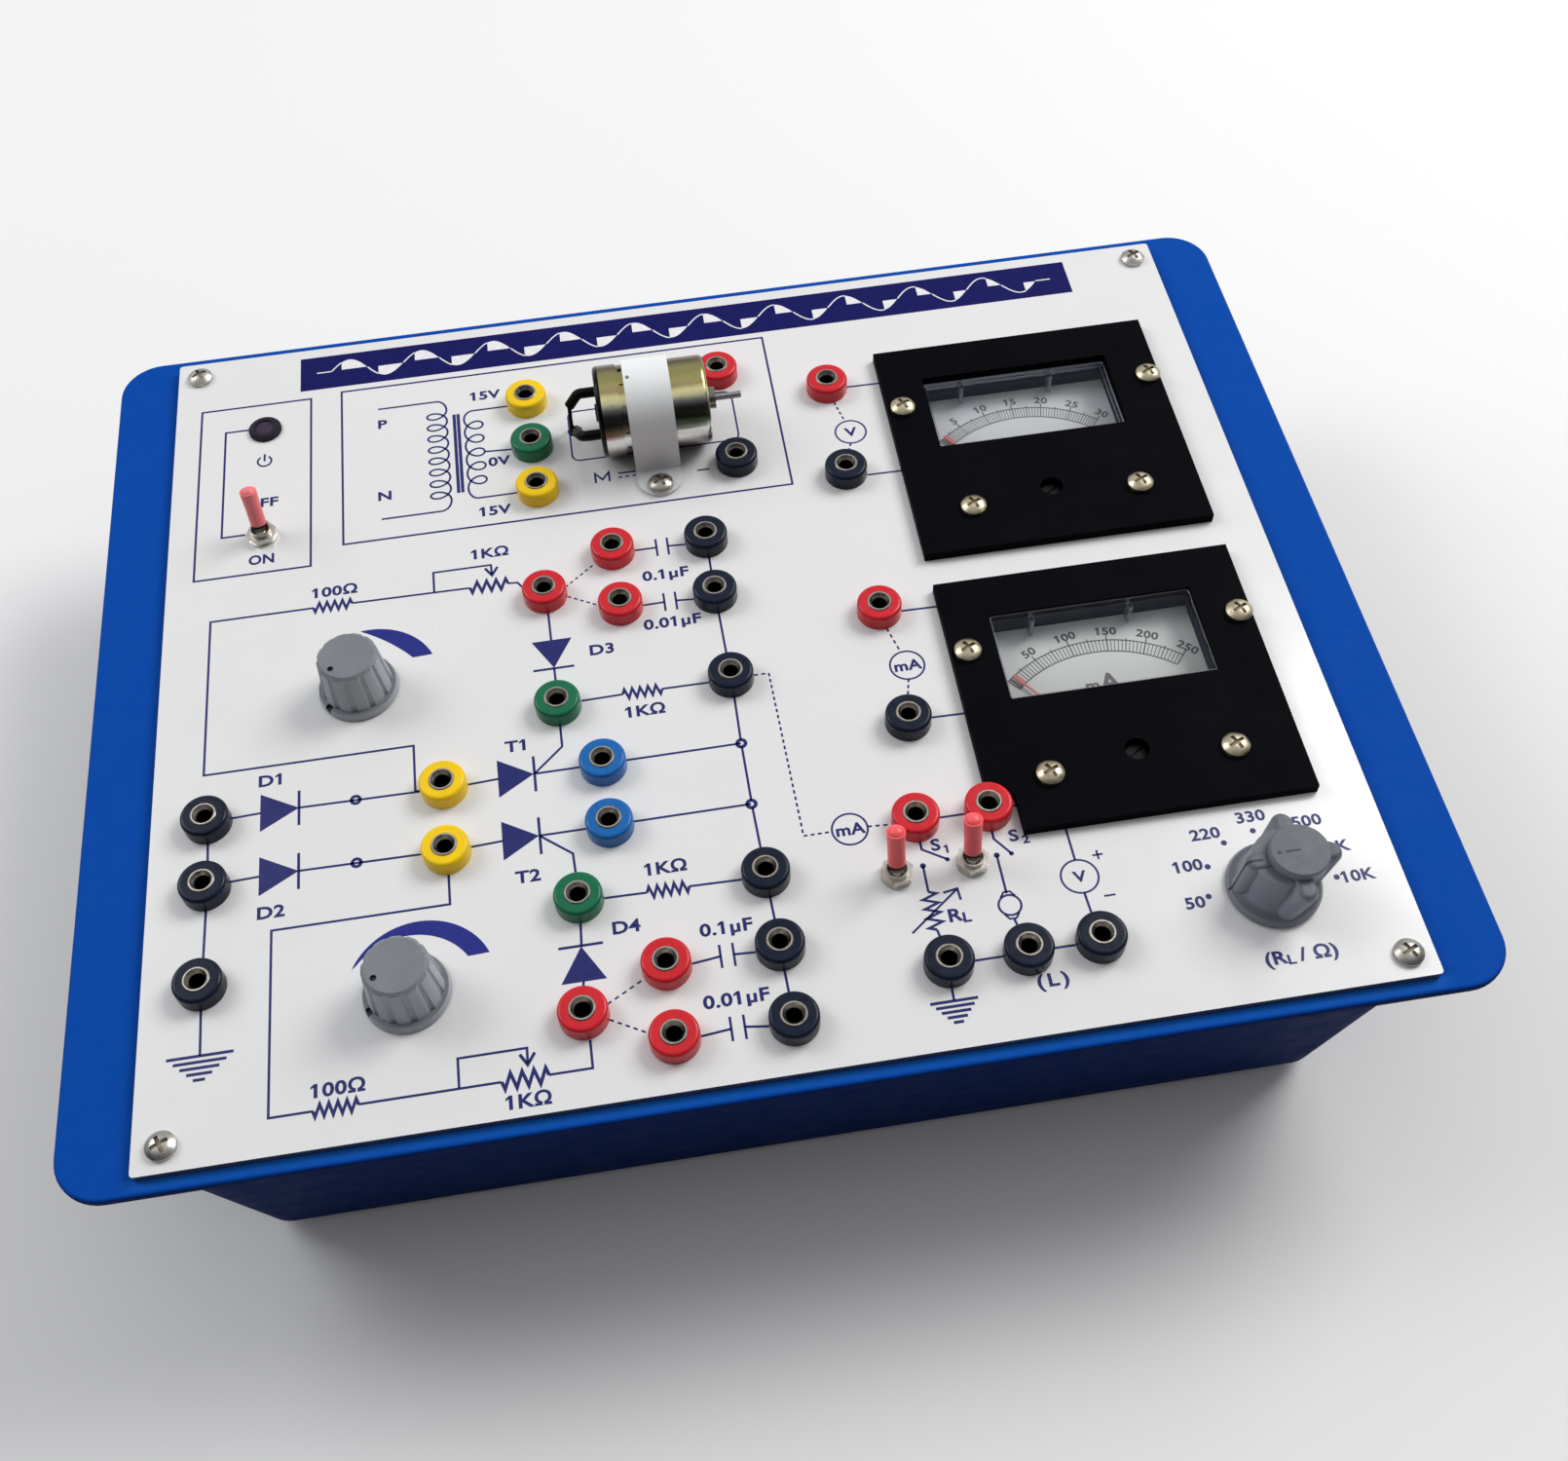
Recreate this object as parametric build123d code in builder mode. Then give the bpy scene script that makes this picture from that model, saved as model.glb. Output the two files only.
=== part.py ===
from build123d import *
import os
from math import atan, cos, degrees, radians, sin

# A bench-top power electronics trainer: a moulded tray with a flanged rim,
# closed by a printed panel that carries sockets, two panel meters behind
# cover plates, three toggle switches, three knobs, a lamp and a small motor.
# Millimetres. Origin: centre of the footprint, on the surface it stands on.
# +X runs to the operator's right, +Y to the back, +Z up.

os.makedirs("parts", exist_ok=True)

# ---------------------------------------------------------------- dimensions
PANEL_W, PANEL_D, PANEL_T = 305.0, 260.0, 2.5
FOOT_H = 5.0
PANEL_Z = 73.0                       # top face of the panel above the bench
FLANGE_W, FLANGE_D, FLANGE_R, FLANGE_T = 342.0, 268.5, 12.0, 3.0
TUB_W, TUB_D, TUB_R = 305.0, 263.5, 13.0
DRAFT = 0.1625                       # inward lean of the tub walls, per mm
WALL = 3.0
X0, Y0 = 152.5, 130.75               # footprint centre in panel coordinates

RIM_Z = PANEL_Z - PANEL_T            # top face of the flange
TUB_Z = FOOT_H                       # underside of the tub
FLOOR_Z = TUB_Z + WALL
DEPTH = RIM_Z - TUB_Z

COLLAR_R, COLLAR_H, COLLAR_ROUND = 6.05, 4.75, 1.0      # socket collars
STEM_R, STEM_L = 4.0, 5.0
SLEEVE_R, SOCKET_R, SOCKET_DEEP = 3.0, 2.0, 11.0
RING_R, RING_H = 3.3, 0.3

TOGGLE_TILT = 12.0                   # lever lean at either end of its travel
TOGGLE_PIVOT = 1.0
MOTOR_R, MOTOR_CAP_R, MOTOR_AXIS_Z = 12.55, 13.0, 13.1
METER_STEP = 90.7                    # voltmeter above milliammeter, along Y
PIVOT_X, PIVOT_Y = 250.2, 71.6       # milliammeter needle pivot
NEEDLE_L = 41.0
SUNK = 1.8                           # the voltmeter sits this much deeper
NEEDLE_REST = 125.5                  # needle direction at rest, degrees

# Places on the panel, measured from its front left corner.
RED = [(162.6, 226.1), (124.7, 162.0), (125.0, 142.1), (104.8, 150.0), (194.2, 214.6),
       (194.2, 128.5), (191.0, 61.6), (209.5, 61.6), (125.0, 31.8), (124.8, 12.9), (104.4, 22.4)]
BLACK = [(163.6, 190.0), (151.0, 161.7), (151.0, 141.8), (151.5, 113.1), (194.0, 179.8),
         (195.0, 91.5), (191.1, 21.3), (210.3, 21.3), (228.0, 21.5), (14.6, 91.2),
         (14.8, 71.9), (14.6, 44.9), (151.9, 52.4), (152.4, 32.3), (152.8, 12.8)]
GREEN = [(105.2, 206.5), (105.4, 111.9), (105.9, 53.1)]
YELLOW = [(104.8, 224.8), (105.6, 188.9), (74.5, 91.5), (74.4, 72.1)]
BLUE = [(115.4, 91.3), (115.4, 73.0)]
SOCKETS = RED + BLACK + GREEN + YELLOW + BLUE

CORNER_SCREWS = [(6.6, 253.5), (298.6, 253.5), (7.0, 6.2), (298.4, 6.2)]
TOGGLES = [(26.7, 185.9), (183.6, 47.3), (202.5, 47.5)]
LAMP = (26.7, 228.0)
POTS = [(53.3, 127.0, 220.5), (63.4, 35.3, 207.0)]     # x, y, pointer angle
ROTARY = (272.7, 28.9, 180.0)
PLATE_SCREWS = [(214.4, 109.0), (288.4, 109.4), (226.7, 67.7), (274.8, 67.9)]
FEET = [(32.0, 32.0), (273.0, 32.0), (32.0, 229.5), (273.0, 229.5)]
MOTOR_Y = 204.1
STRAP_X, STRAP_W, STRAP_T = 140.8, 13.0, 1.0
STRAP_SCREWS = [(STRAP_X, MOTOR_Y - 19.8), (STRAP_X, MOTOR_Y + 19.8)]
LEAD_HOLE = (118.05, 211.0)
BOARD_C, BOARD_W, BOARD_D, BOARD_Z = (122.0, 82.0), 120.0, 80.0, FLOOR_Z + 8.0
TRAFO_C = (96.0, 196.0)
INLET_X, INLET_DROP = 52.0, 34.0     # inlet centre, and how far below the rim


def at(x, y, z=0.0):
    """A point given in panel coordinates, z above the panel's top face."""
    return (x - X0, y - Y0, z + PANEL_Z)


def spots(places, z=0.0):
    return [at(p[0], p[1], z) for p in places]


def keep(piece, label):
    piece.part.label = label
    export_step(piece.part, f"parts/{label}.step")


def pillar(r, low, high, mode=Mode.ADD):
    """A round column between two heights of the current place."""
    with Locations((0, 0, low)):
        return Cylinder(r, high - low, align=(Align.CENTER, Align.CENTER, Align.MIN), mode=mode)


def taper(r_low, r_high, low, high, mode=Mode.ADD):
    with Locations((0, 0, low)):
        return Cone(r_low, r_high, high - low, align=(Align.CENTER, Align.CENTER, Align.MIN), mode=mode)


def block(x1, x2, y1, y2, z1, z2, mode=Mode.ADD):
    """A box between panel coordinates."""
    with Locations(at(x1, y1, z1)):
        return Box(x2 - x1, y2 - y1, z2 - z1, align=(Align.MIN, Align.MIN, Align.MIN), mode=mode)


# ------------------------------------------------------------------- cabinet
INLET_TILT = degrees(atan(DRAFT))
inlet_plane = Plane(
    origin=(INLET_X - X0, TUB_D / 2 - DRAFT * INLET_DROP + 0.006, RIM_Z - INLET_DROP),
    x_dir=(-1, 0, 0),
    z_dir=(0, cos(radians(INLET_TILT)), -sin(radians(INLET_TILT))),
)

# outside of the drafted tub
with BuildPart() as tub_block:
    with BuildSketch(Plane.XY.offset(RIM_Z - 1.5)):
        RectangleRounded(TUB_W - 2 * DRAFT * 1.5, TUB_D - 2 * DRAFT * 1.5, TUB_R)
    with BuildSketch(Plane.XY.offset(TUB_Z)):
        RectangleRounded(TUB_W - 2 * DRAFT * DEPTH, TUB_D - 2 * DRAFT * DEPTH, TUB_R - 4)
    loft()

# screw bosses under the panel corners, kept inside the tub's skin
with BuildPart() as corner_bosses:
    with Locations(*spots(CORNER_SCREWS, -PANEL_T - 14.0)):
        Cylinder(4.2, 14.0, align=(Align.CENTER, Align.CENTER, Align.MIN))
    with BuildSketch(Plane.XY.offset(RIM_Z)):
        RectangleRounded(TUB_W - 1.0, TUB_D - 1.0, TUB_R)
    with BuildSketch(Plane.XY.offset(TUB_Z)):
        RectangleRounded(TUB_W - 1.0 - 2 * DRAFT * DEPTH, TUB_D - 1.0 - 2 * DRAFT * DEPTH, TUB_R - 4)
    loft(mode=Mode.INTERSECT)

with BuildPart() as cabinet_shell:
    with BuildSketch(Plane.XY.offset(RIM_Z)):
        RectangleRounded(FLANGE_W, FLANGE_D, FLANGE_R)
    extrude(amount=-FLANGE_T)
    fillet(cabinet_shell.edges().group_by(Axis.Z)[-1], 1.0)
    fillet(cabinet_shell.edges().group_by(Axis.Z)[0], 1.0)
    add(tub_block.part)
    fillet(cabinet_shell.edges().group_by(Axis.Z)[0], 2.0)
    # hollow inside
    inner_w, inner_d = TUB_W - 2 * WALL, TUB_D - 2 * WALL
    inner_deep = RIM_Z - FLOOR_Z
    with BuildSketch(Plane.XY.offset(RIM_Z + 0.001)):
        RectangleRounded(inner_w, inner_d, TUB_R - WALL)
    with BuildSketch(Plane.XY.offset(FLOOR_Z)):
        RectangleRounded(inner_w - 2 * DRAFT * inner_deep, inner_d - 2 * DRAFT * inner_deep, TUB_R - WALL - 4)
    loft(mode=Mode.SUBTRACT)
    # screw bosses under the panel corners and over the feet
    add(corner_bosses.part)
    with Locations(*spots(CORNER_SCREWS, -PANEL_T - 12.5)):
        Cylinder(1.65, 12.6, align=(Align.CENTER, Align.CENTER, Align.MIN), mode=Mode.SUBTRACT)
    with Locations(*spots(FEET, FLOOR_Z - PANEL_Z)):
        Cylinder(4.5, 5.0, align=(Align.CENTER, Align.CENTER, Align.MIN))
    with Locations(*spots(FEET, TUB_Z - PANEL_Z - 0.1)):
        Cylinder(1.75, WALL + 6.0, align=(Align.CENTER, Align.CENTER, Align.MIN), mode=Mode.SUBTRACT)
    # window in the back wall for the mains inlet
    with BuildSketch(inlet_plane.offset(4.0)):
        RectangleRounded(28.0, 29.6, 1.0)
    extrude(amount=-12.0, mode=Mode.SUBTRACT)
keep(cabinet_shell, "cabinet_shell")

# ----------------------------------------------------------------- panel
with BuildPart() as front_panel:
    with BuildSketch(Plane.XY.offset(PANEL_Z)):
        with Locations((PANEL_W / 2 - X0, PANEL_D / 2 - Y0)):
            RectangleRounded(PANEL_W, PANEL_D, 1.0)
        with Locations(*[(x - X0, y - Y0) for x, y in SOCKETS]):
            Circle(STEM_R + 0.05, mode=Mode.SUBTRACT)
        with Locations(*[(x - X0, y - Y0) for x, y in TOGGLES]):
            Circle(2.95, mode=Mode.SUBTRACT)
        with Locations((LAMP[0] - X0, LAMP[1] - Y0)):
            Circle(4.05, mode=Mode.SUBTRACT)
        with Locations(*[(x - X0, y - Y0) for x, y, _ in POTS]):
            Circle(3.55, mode=Mode.SUBTRACT)
        with Locations((ROTARY[0] - X0, ROTARY[1] - Y0)):
            Circle(4.55, mode=Mode.SUBTRACT)
        with Locations(*[(x - X0, y - Y0) for x, y in CORNER_SCREWS]):
            Circle(2.1, mode=Mode.SUBTRACT)
        with Locations(*[(x - X0, y - Y0) for x, y in STRAP_SCREWS]):
            Circle(1.6, mode=Mode.SUBTRACT)
        with Locations((LEAD_HOLE[0] - X0, LEAD_HOLE[1] - Y0)):
            Circle(2.2, mode=Mode.SUBTRACT)
        for step in (0.0, METER_STEP):
            with Locations(*[(x - X0, y + step - Y0) for x, y in PLATE_SCREWS]):
                Circle(1.75, mode=Mode.SUBTRACT)
            with Locations((PIVOT_X - 0.1 - X0, 105.4 + step - Y0)):
                Rectangle(61.8, 35.6, mode=Mode.SUBTRACT)
            with Locations((PIVOT_X - X0, 73.0 + step - Y0)):
                Rectangle(39.8, 34.4, mode=Mode.SUBTRACT)
    extrude(amount=-PANEL_T)
keep(front_panel, "front_panel")

# ------------------------------------------------------------ screws and feet
def pan_screw(r_head, h_head, r_shank, length, z_seat=0.0):
    """Cross-recess pan-head screw, seat at z_seat, shank downwards."""
    with BuildPart() as screw:
        pillar(r_head, z_seat, z_seat + h_head * 0.45)
        with BuildSketch(Plane.XZ):
            with BuildLine():
                Line((0, z_seat + h_head * 0.45), (r_head, z_seat + h_head * 0.45))
                ThreePointArc((r_head, z_seat + h_head * 0.45), (r_head * 0.62, z_seat + h_head * 0.86), (0, z_seat + h_head))
                Line((0, z_seat + h_head), (0, z_seat + h_head * 0.45))
            make_face()
        revolve(axis=Axis.Z)
        pillar(r_shank, z_seat - length, z_seat)
        with Locations((0, 0, z_seat + h_head)):
            Box(r_head * 1.2, r_head * 0.28, h_head * 1.1, rotation=(0, 0, 25), mode=Mode.SUBTRACT)
            Box(r_head * 0.28, r_head * 1.2, h_head * 1.1, rotation=(0, 0, 25), mode=Mode.SUBTRACT)
    return screw


corner_screw = pan_screw(3.6, 2.4, 1.6, 13.0)
with BuildPart() as panel_screws:
    with Locations(*spots(CORNER_SCREWS)):
        add(corner_screw.part)
keep(panel_screws, "panel_screws")

with BuildPart() as rubber_feet:
    with Locations(*[(x - X0, y - Y0, 0) for x, y in FEET]):
        Cone(8.0, 9.5, FOOT_H, align=(Align.CENTER, Align.CENTER, Align.MIN))
        Cylinder(4.2, 2.6, align=(Align.CENTER, Align.CENTER, Align.MIN), mode=Mode.SUBTRACT)
        Cylinder(1.8, FOOT_H, align=(Align.CENTER, Align.CENTER, Align.MIN), mode=Mode.SUBTRACT)
keep(rubber_feet, "rubber_feet")

with BuildPart() as foot_screw:
    pillar(3.4, 0.7, 2.6)
    pillar(1.65, 2.6, 12.0)
    with Locations((0, 0, 0.7)):
        Box(3.6, 0.8, 1.8, mode=Mode.SUBTRACT)
        Box(0.8, 3.6, 1.8, mode=Mode.SUBTRACT)
# ------------------------------------------------------------------- sockets
with BuildPart() as collar:
    pillar(COLLAR_R, 0, COLLAR_H)
    fillet(collar.edges().filter_by(GeomType.CIRCLE).sort_by(Axis.Z)[-1], COLLAR_ROUND)
    pillar(STEM_R, -STEM_L, 0)
    pillar(SLEEVE_R, -STEM_L, COLLAR_H, mode=Mode.SUBTRACT)

for colour, places in (("red", RED), ("black", BLACK), ("green", GREEN), ("yellow", YELLOW), ("blue", BLUE)):
    with BuildPart() as collars:
        with Locations(*spots(places)):
            add(collar.part)
    keep(collars, f"socket_collars_{colour}")

with BuildPart() as sleeve:
    pillar(RING_R, COLLAR_H, COLLAR_H + 0.1)
    taper(RING_R, RING_R - 0.2, COLLAR_H + 0.1, COLLAR_H + RING_H)
    pillar(SLEEVE_R, -SOCKET_DEEP - 2.0, COLLAR_H)
    pillar(1.0, -SOCKET_DEEP - 6.0, -SOCKET_DEEP - 2.0)
    pillar(SOCKET_R, -SOCKET_DEEP, COLLAR_H + RING_H, mode=Mode.SUBTRACT)
    taper(SOCKET_R, SOCKET_R + 0.75, COLLAR_H + RING_H - 1.15, COLLAR_H + RING_H, mode=Mode.SUBTRACT)
with BuildPart() as socket_sleeves:
    with Locations(*spots(SOCKETS)):
        add(sleeve.part)
keep(socket_sleeves, "socket_sleeves")

with BuildPart() as nut:
    with BuildSketch(Plane.XY.offset(-STEM_L)):
        RegularPolygon(4.4, 6, major_radius=False)
        Circle(SLEEVE_R, mode=Mode.SUBTRACT)
    extrude(amount=-2.4)
with BuildPart() as socket_nuts:
    with Locations(*spots(SOCKETS)):
        add(nut.part)
keep(socket_nuts, "socket_nuts")


# -------------------------------------------------------------------- meters
def meter(name, step, sunk):
    """Cover plate, case, clear front, dial, needle and adjuster of one meter."""
    py = PIVOT_Y + step
    with BuildPart() as plate:
        with BuildSketch(Plane.XY.offset(PANEL_Z)):
            with Locations((250.9 - X0, 93.0 + step - Y0)):
                Rectangle(82.0, 79.8)
            if step == 0.0:
                # corner cut away round the socket beside it
                with Locations((209.8 - X0, 61.2 - Y0)):
                    Circle(7.0, mode=Mode.SUBTRACT)
                with Locations((209.8 - X0, 53.0 - Y0)):
                    Rectangle(7.0, 8.2, align=(Align.MIN, Align.MIN), mode=Mode.SUBTRACT)
            with Locations((250.1 - X0, 106.05 + step - Y0)):
                RectangleRounded(55.6, 27.9, 0.5, mode=Mode.SUBTRACT)
            with Locations((PIVOT_X - X0, py - Y0)):
                Circle(3.2, mode=Mode.SUBTRACT)
            with Locations(*[(x - X0, y + step - Y0) for x, y in PLATE_SCREWS]):
                Circle(1.85, mode=Mode.SUBTRACT)
        extrude(amount=3.0)
    keep(plate, f"{name}_cover_plate")

    with BuildPart() as case:
        block(219.6, 280.6, 88.0 + step, 122.8 + step, -16.0, 0.0)
        block(230.6, 269.8, 56.1 + step, 90.0 + step, -36.0, 0.0)
        block(221.6, 278.6, 90.0 + step, 120.8 + step, -14.0, 0.0, mode=Mode.SUBTRACT)
        block(232.6, 267.8, 58.1 + step, 90.0 + step, -34.0, -1.7, mode=Mode.SUBTRACT)
        with Locations(at(PIVOT_X, py, -1.0)):
            Cylinder(2.7, 1.0, align=(Align.CENTER, Align.CENTER, Align.MIN), mode=Mode.SUBTRACT)
        with Locations(at(PIVOT_X, py, -1.7)):
            Cylinder(1.0, 1.0, align=(Align.CENTER, Align.CENTER, Align.MIN), mode=Mode.SUBTRACT)
    keep(case, f"{name}_case")

    with BuildPart() as window:
        # raised clear front that stands in the window of the cover plate
        block(222.5, 277.7, 92.3 + step, 119.8 + step, -1.7 - sunk, 2.8 - sunk)
        fillet(window.edges().filter_by(Axis.Z), 0.6)
        fillet(window.edges().group_by(Axis.Z)[-1], 0.7)
        block(221.7, 278.5, 90.1 + step, 120.7 + step, -1.7 - sunk, -0.2 - sunk)
        block(223.5, 276.7, 93.3 + step, 118.8 + step, -1.8 - sunk, 1.6 - sunk, mode=Mode.SUBTRACT)
        block(233.5, 234.5, 116.9 + step, 119.75 + step, -5.0 - sunk, 1.7 - sunk)
        block(260.6, 261.6, 116.9 + step, 119.75 + step, -5.0 - sunk, 1.7 - sunk)
    keep(window, f"{name}_window")

    with BuildPart() as dial:
        block(221.8, 278.4, 90.2 + step, 120.6 + step, -6.5 - sunk, -6.0 - sunk)
        block(232.8, 267.6, 58.3 + step, 90.2 + step, -6.5 - sunk, -6.0 - sunk)
        with Locations(at(PIVOT_X, py, -6.5 - sunk)):
            Cylinder(1.2, 0.5, align=(Align.CENTER, Align.CENTER, Align.MIN), mode=Mode.SUBTRACT)
    keep(dial, f"{name}_dial")

    swing = Plane(origin=at(PIVOT_X, py, 0), x_dir=(cos(radians(NEEDLE_REST)), sin(radians(NEEDLE_REST)), 0), z_dir=(0, 0, 1))
    with BuildPart() as needle:
        with BuildSketch(swing.offset(-5.15 - sunk)):
            with BuildLine():
                Polyline((-8.5, -0.9), (-1.5, -0.55), (36.6, -0.22), (37.4, -0.62), (40.4, -0.5), (NEEDLE_L, -0.2),
                         (NEEDLE_L, 0.2), (40.4, 0.5), (37.4, 0.62), (36.6, 0.22), (-1.5, 0.55), (-8.5, 0.9), close=True)
            make_face()
        extrude(amount=0.35)
        with Locations(at(PIVOT_X, py, -5.4 - sunk)):
            Cylinder(2.2, 0.9, align=(Align.CENTER, Align.CENTER, Align.MIN))
        with Locations(at(PIVOT_X, py, -21.0)):
            Cylinder(0.5, 17.0 - sunk, align=(Align.CENTER, Align.CENTER, Align.MIN))
    keep(needle, f"{name}_needle")

    with BuildPart() as adjuster:
        with Locations(at(PIVOT_X, py, -0.95)):
            Cylinder(2.6, 1.75, align=(Align.CENTER, Align.CENTER, Align.MIN))
        with Locations(at(PIVOT_X, py, -3.2)):
            Cylinder(0.9, 2.25, align=(Align.CENTER, Align.CENTER, Align.MIN))
        with Locations(at(PIVOT_X, py, 0.8)):
            Box(5.4, 0.8, 1.2, rotation=(0, 0, 35), mode=Mode.SUBTRACT)
    keep(adjuster, f"{name}_zero_adjuster")


meter("milliammeter", 0.0, 0.0)
meter("voltmeter", METER_STEP, SUNK)

with BuildPart() as meter_movements:
    with Locations(at(PIVOT_X, PIVOT_Y, -34.0)):
        Cylinder(12.5, 27.5, align=(Align.CENTER, Align.CENTER, Align.MIN))
    with Locations(at(PIVOT_X, PIVOT_Y + METER_STEP, -34.0)):
        Cylinder(12.5, 27.5 - SUNK, align=(Align.CENTER, Align.CENTER, Align.MIN))
    with Locations(at(PIVOT_X, PIVOT_Y, -22.0), at(PIVOT_X, PIVOT_Y + METER_STEP, -22.0)):
        Cylinder(0.7, 15.5, align=(Align.CENTER, Align.CENTER, Align.MIN), mode=Mode.SUBTRACT)
keep(meter_movements, "meter_movements")

plate_screw = pan_screw(3.6, 2.4, 1.7, 9.0, z_seat=3.0)
with BuildPart() as meter_plate_screws:
    with Locations(*spots(PLATE_SCREWS), *spots([(x, y + METER_STEP) for x, y in PLATE_SCREWS])):
        add(plate_screw.part)
keep(meter_plate_screws, "meter_plate_screws")

# ------------------------------------------------------------ toggle switches
with BuildPart() as switch_body:
    with Locations((0, 0, -14.5)):
        Box(8.0, 13.2, 9.5, align=(Align.CENTER, Align.CENTER, Align.MIN))
    with Locations((0, -4.7, -18.5), (0, 0, -18.5), (0, 4.7, -18.5)):
        Box(2.0, 0.8, 4.0, align=(Align.CENTER, Align.CENTER, Align.MIN))
with BuildPart() as toggle_switch_bodies:
    with Locations(*spots(TOGGLES)):
        add(switch_body.part)
keep(toggle_switch_bodies, "toggle_switch_bodies")

with BuildPart() as bushing:
    pillar(2.9, -5.0, 3.6)
    pillar(2.3, -5.0, TOGGLE_PIVOT, mode=Mode.SUBTRACT)
    with Locations((0, 0, TOGGLE_PIVOT)):
        Sphere(2.2, mode=Mode.SUBTRACT)
    taper(1.9, 2.5, TOGGLE_PIVOT + 1.2, 3.6, mode=Mode.SUBTRACT)
with BuildPart() as toggle_bushings:
    with Locations(*spots(TOGGLES)):
        add(bushing.part)
keep(toggle_bushings, "toggle_bushings")

for place, lever_name, cap_name in zip(
    TOGGLES,
    ("main_toggle_lever", "load_toggle_lever_1", "load_toggle_lever_2"),
    ("main_toggle_cap", "load_toggle_cap_1", "load_toggle_cap_2"),
):
    leaning = Plane(
        origin=at(place[0], place[1], TOGGLE_PIVOT),
        x_dir=(1, 0, 0),
        z_dir=(0, sin(radians(TOGGLE_TILT)), cos(radians(TOGGLE_TILT))),
    )
    with BuildPart(leaning) as lever:
        Sphere(2.0)
        pillar(0.9, -5.2, 0)
        pillar(1.35, 0, 13.0)
        pillar(2.05, 3.3, 4.1)
    keep(lever, lever_name)
    with BuildPart(leaning) as cap:
        pillar(2.2, 4.1, 9.0)
        taper(2.2, 2.35, 9.0, 15.0)
        with Locations((0, 0, 15.0)):
            Sphere(2.35, arc_size1=0)
        pillar(1.35, 4.1, 13.0, mode=Mode.SUBTRACT)
    keep(cap, cap_name)

# ----------------------------------------------------- potentiometers, rotary
with BuildPart() as pot_body:
    pillar(8.2, -15.5, -5.5)
    pillar(3.5, -5.5, 5.0)
    with Locations((-5.0, -9.5, -9.5), (0, -9.5, -9.5), (5.0, -9.5, -9.5)):
        Box(2.0, 7.0, 0.8)
    pillar(3.05, -12.2, 5.0, mode=Mode.SUBTRACT)
with BuildPart() as potentiometer_bodies:
    with Locations(*spots(POTS)):
        add(pot_body.part)
keep(potentiometer_bodies, "potentiometer_bodies")

with BuildPart() as rotary_switch_body:
    with Locations(at(ROTARY[0], ROTARY[1])):
        pillar(13.5, -24.0, -6.0)
        pillar(4.5, -6.0, 6.0)
        pillar(3.05, -20.2, 6.0, mode=Mode.SUBTRACT)
        with PolarLocations(11.0, 12):
            with Locations((0, 0, -27.0)):
                Box(2.0, 0.8, 3.0, align=(Align.CENTER, Align.CENTER, Align.MIN))
keep(rotary_switch_body, "rotary_switch_body")


def knob_plane(place):
    """Panel-level plane whose x direction is where the pointer points."""
    return Plane(origin=at(place[0], place[1]), x_dir=(cos(radians(place[2])), sin(radians(place[2])), 0), z_dir=(0, 0, 1))


with BuildPart() as knob_bevel:
    pillar(10.0, 14.2, 15.2)
    taper(7.95, 6.85, 14.2, 15.2, mode=Mode.SUBTRACT)

for place, prefix in zip(POTS, ("upper", "lower")):
    base = knob_plane(place)
    with BuildPart(base) as shaft:
        pillar(3.0, -12.0, 13.0)
    keep(shaft, f"{prefix}_pot_shaft")
    with BuildPart(base) as knob:
        taper(10.6, 10.2, 0.5, 2.4)
        with BuildSketch(base.offset(2.4)):
            Circle(9.2)
            with PolarLocations(9.75, 12, start_angle=15):
                Circle(1.15, mode=Mode.SUBTRACT)
        with BuildSketch(base.offset(15.0)):
            Circle(7.9)
            with PolarLocations(8.35, 12, start_angle=15):
                Circle(0.9, mode=Mode.SUBTRACT)
        loft()
        add(knob_bevel.part, mode=Mode.SUBTRACT)
        pillar(6.3, 0.5, 5.6, mode=Mode.SUBTRACT)
        pillar(3.0, 5.6, 13.0, mode=Mode.SUBTRACT)
        # pointer dot in the top, notch in the skirt
        with Locations((5.5, 0, 14.75)):
            Cylinder(0.75, 0.6, mode=Mode.SUBTRACT)
        with Locations((9.9, 0, 2.2)):
            Box(1.8, 2.0, 1.2, mode=Mode.SUBTRACT)
    keep(knob, f"{prefix}_pot_knob")

base = knob_plane(ROTARY)
with BuildPart(base) as rotary_switch_shaft:
    pillar(3.0, -20.0, 13.0)
keep(rotary_switch_shaft, "rotary_switch_shaft")

# bell-shaped body that flows out into its skirt
with BuildPart() as knob_bell:
    with BuildSketch(Plane.XZ):
        with BuildLine():
            Polyline((0, 0.5), (11.5, 0.5), (11.6, 1.6), (11.0, 2.6))
            ThreePointArc((11.0, 2.6), (9.3, 3.9), (8.6, 6.0))
            Polyline((8.6, 6.0), (7.6, 14.2), (0, 14.2), (0, 0.5))
        make_face()
    revolve(axis=Axis.Z)

# four finger wings whose tops are set back from the pointer:
# direction, foot, and tip of each, measured from the shaft
WINGS = [(0.0, (10.8, 0.0), (9.3, 0.0)), (180.0, (-11.2, 0.0), (-14.5, 0.0)),
         (90.0, (-0.2, 10.8), (-2.8, 12.4)), (-90.0, (-0.2, -10.8), (-2.8, -12.4))]
WING_FOOT, WING_TOP, WING_BACK = 2.35, 14.65, -2.8


def wing_outline(angle, centre_x, tip, width):
    """A slot from the wing's root to its tip."""
    length = max(abs(tip[0] - centre_x), abs(tip[1])) - width / 2
    with Locations(Location((centre_x, 0, 0), (0, 0, angle))):
        with Locations((length / 2, 0)):
            SlotCenterToCenter(length, width)


wing_shapes = []
for angle, foot, tip in WINGS:
    with BuildPart() as wing:
        with BuildSketch(Plane.XY.offset(WING_FOOT)):
            wing_outline(angle, 0.0, foot, 6.2)
        with BuildSketch(Plane.XY.offset(WING_TOP)):
            wing_outline(angle, WING_BACK, tip, 5.2)
        loft()
        fillet(wing.faces().sort_by(Axis.Z)[-1].edges(), 1.6)
    wing_shapes.append(wing.part)

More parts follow.
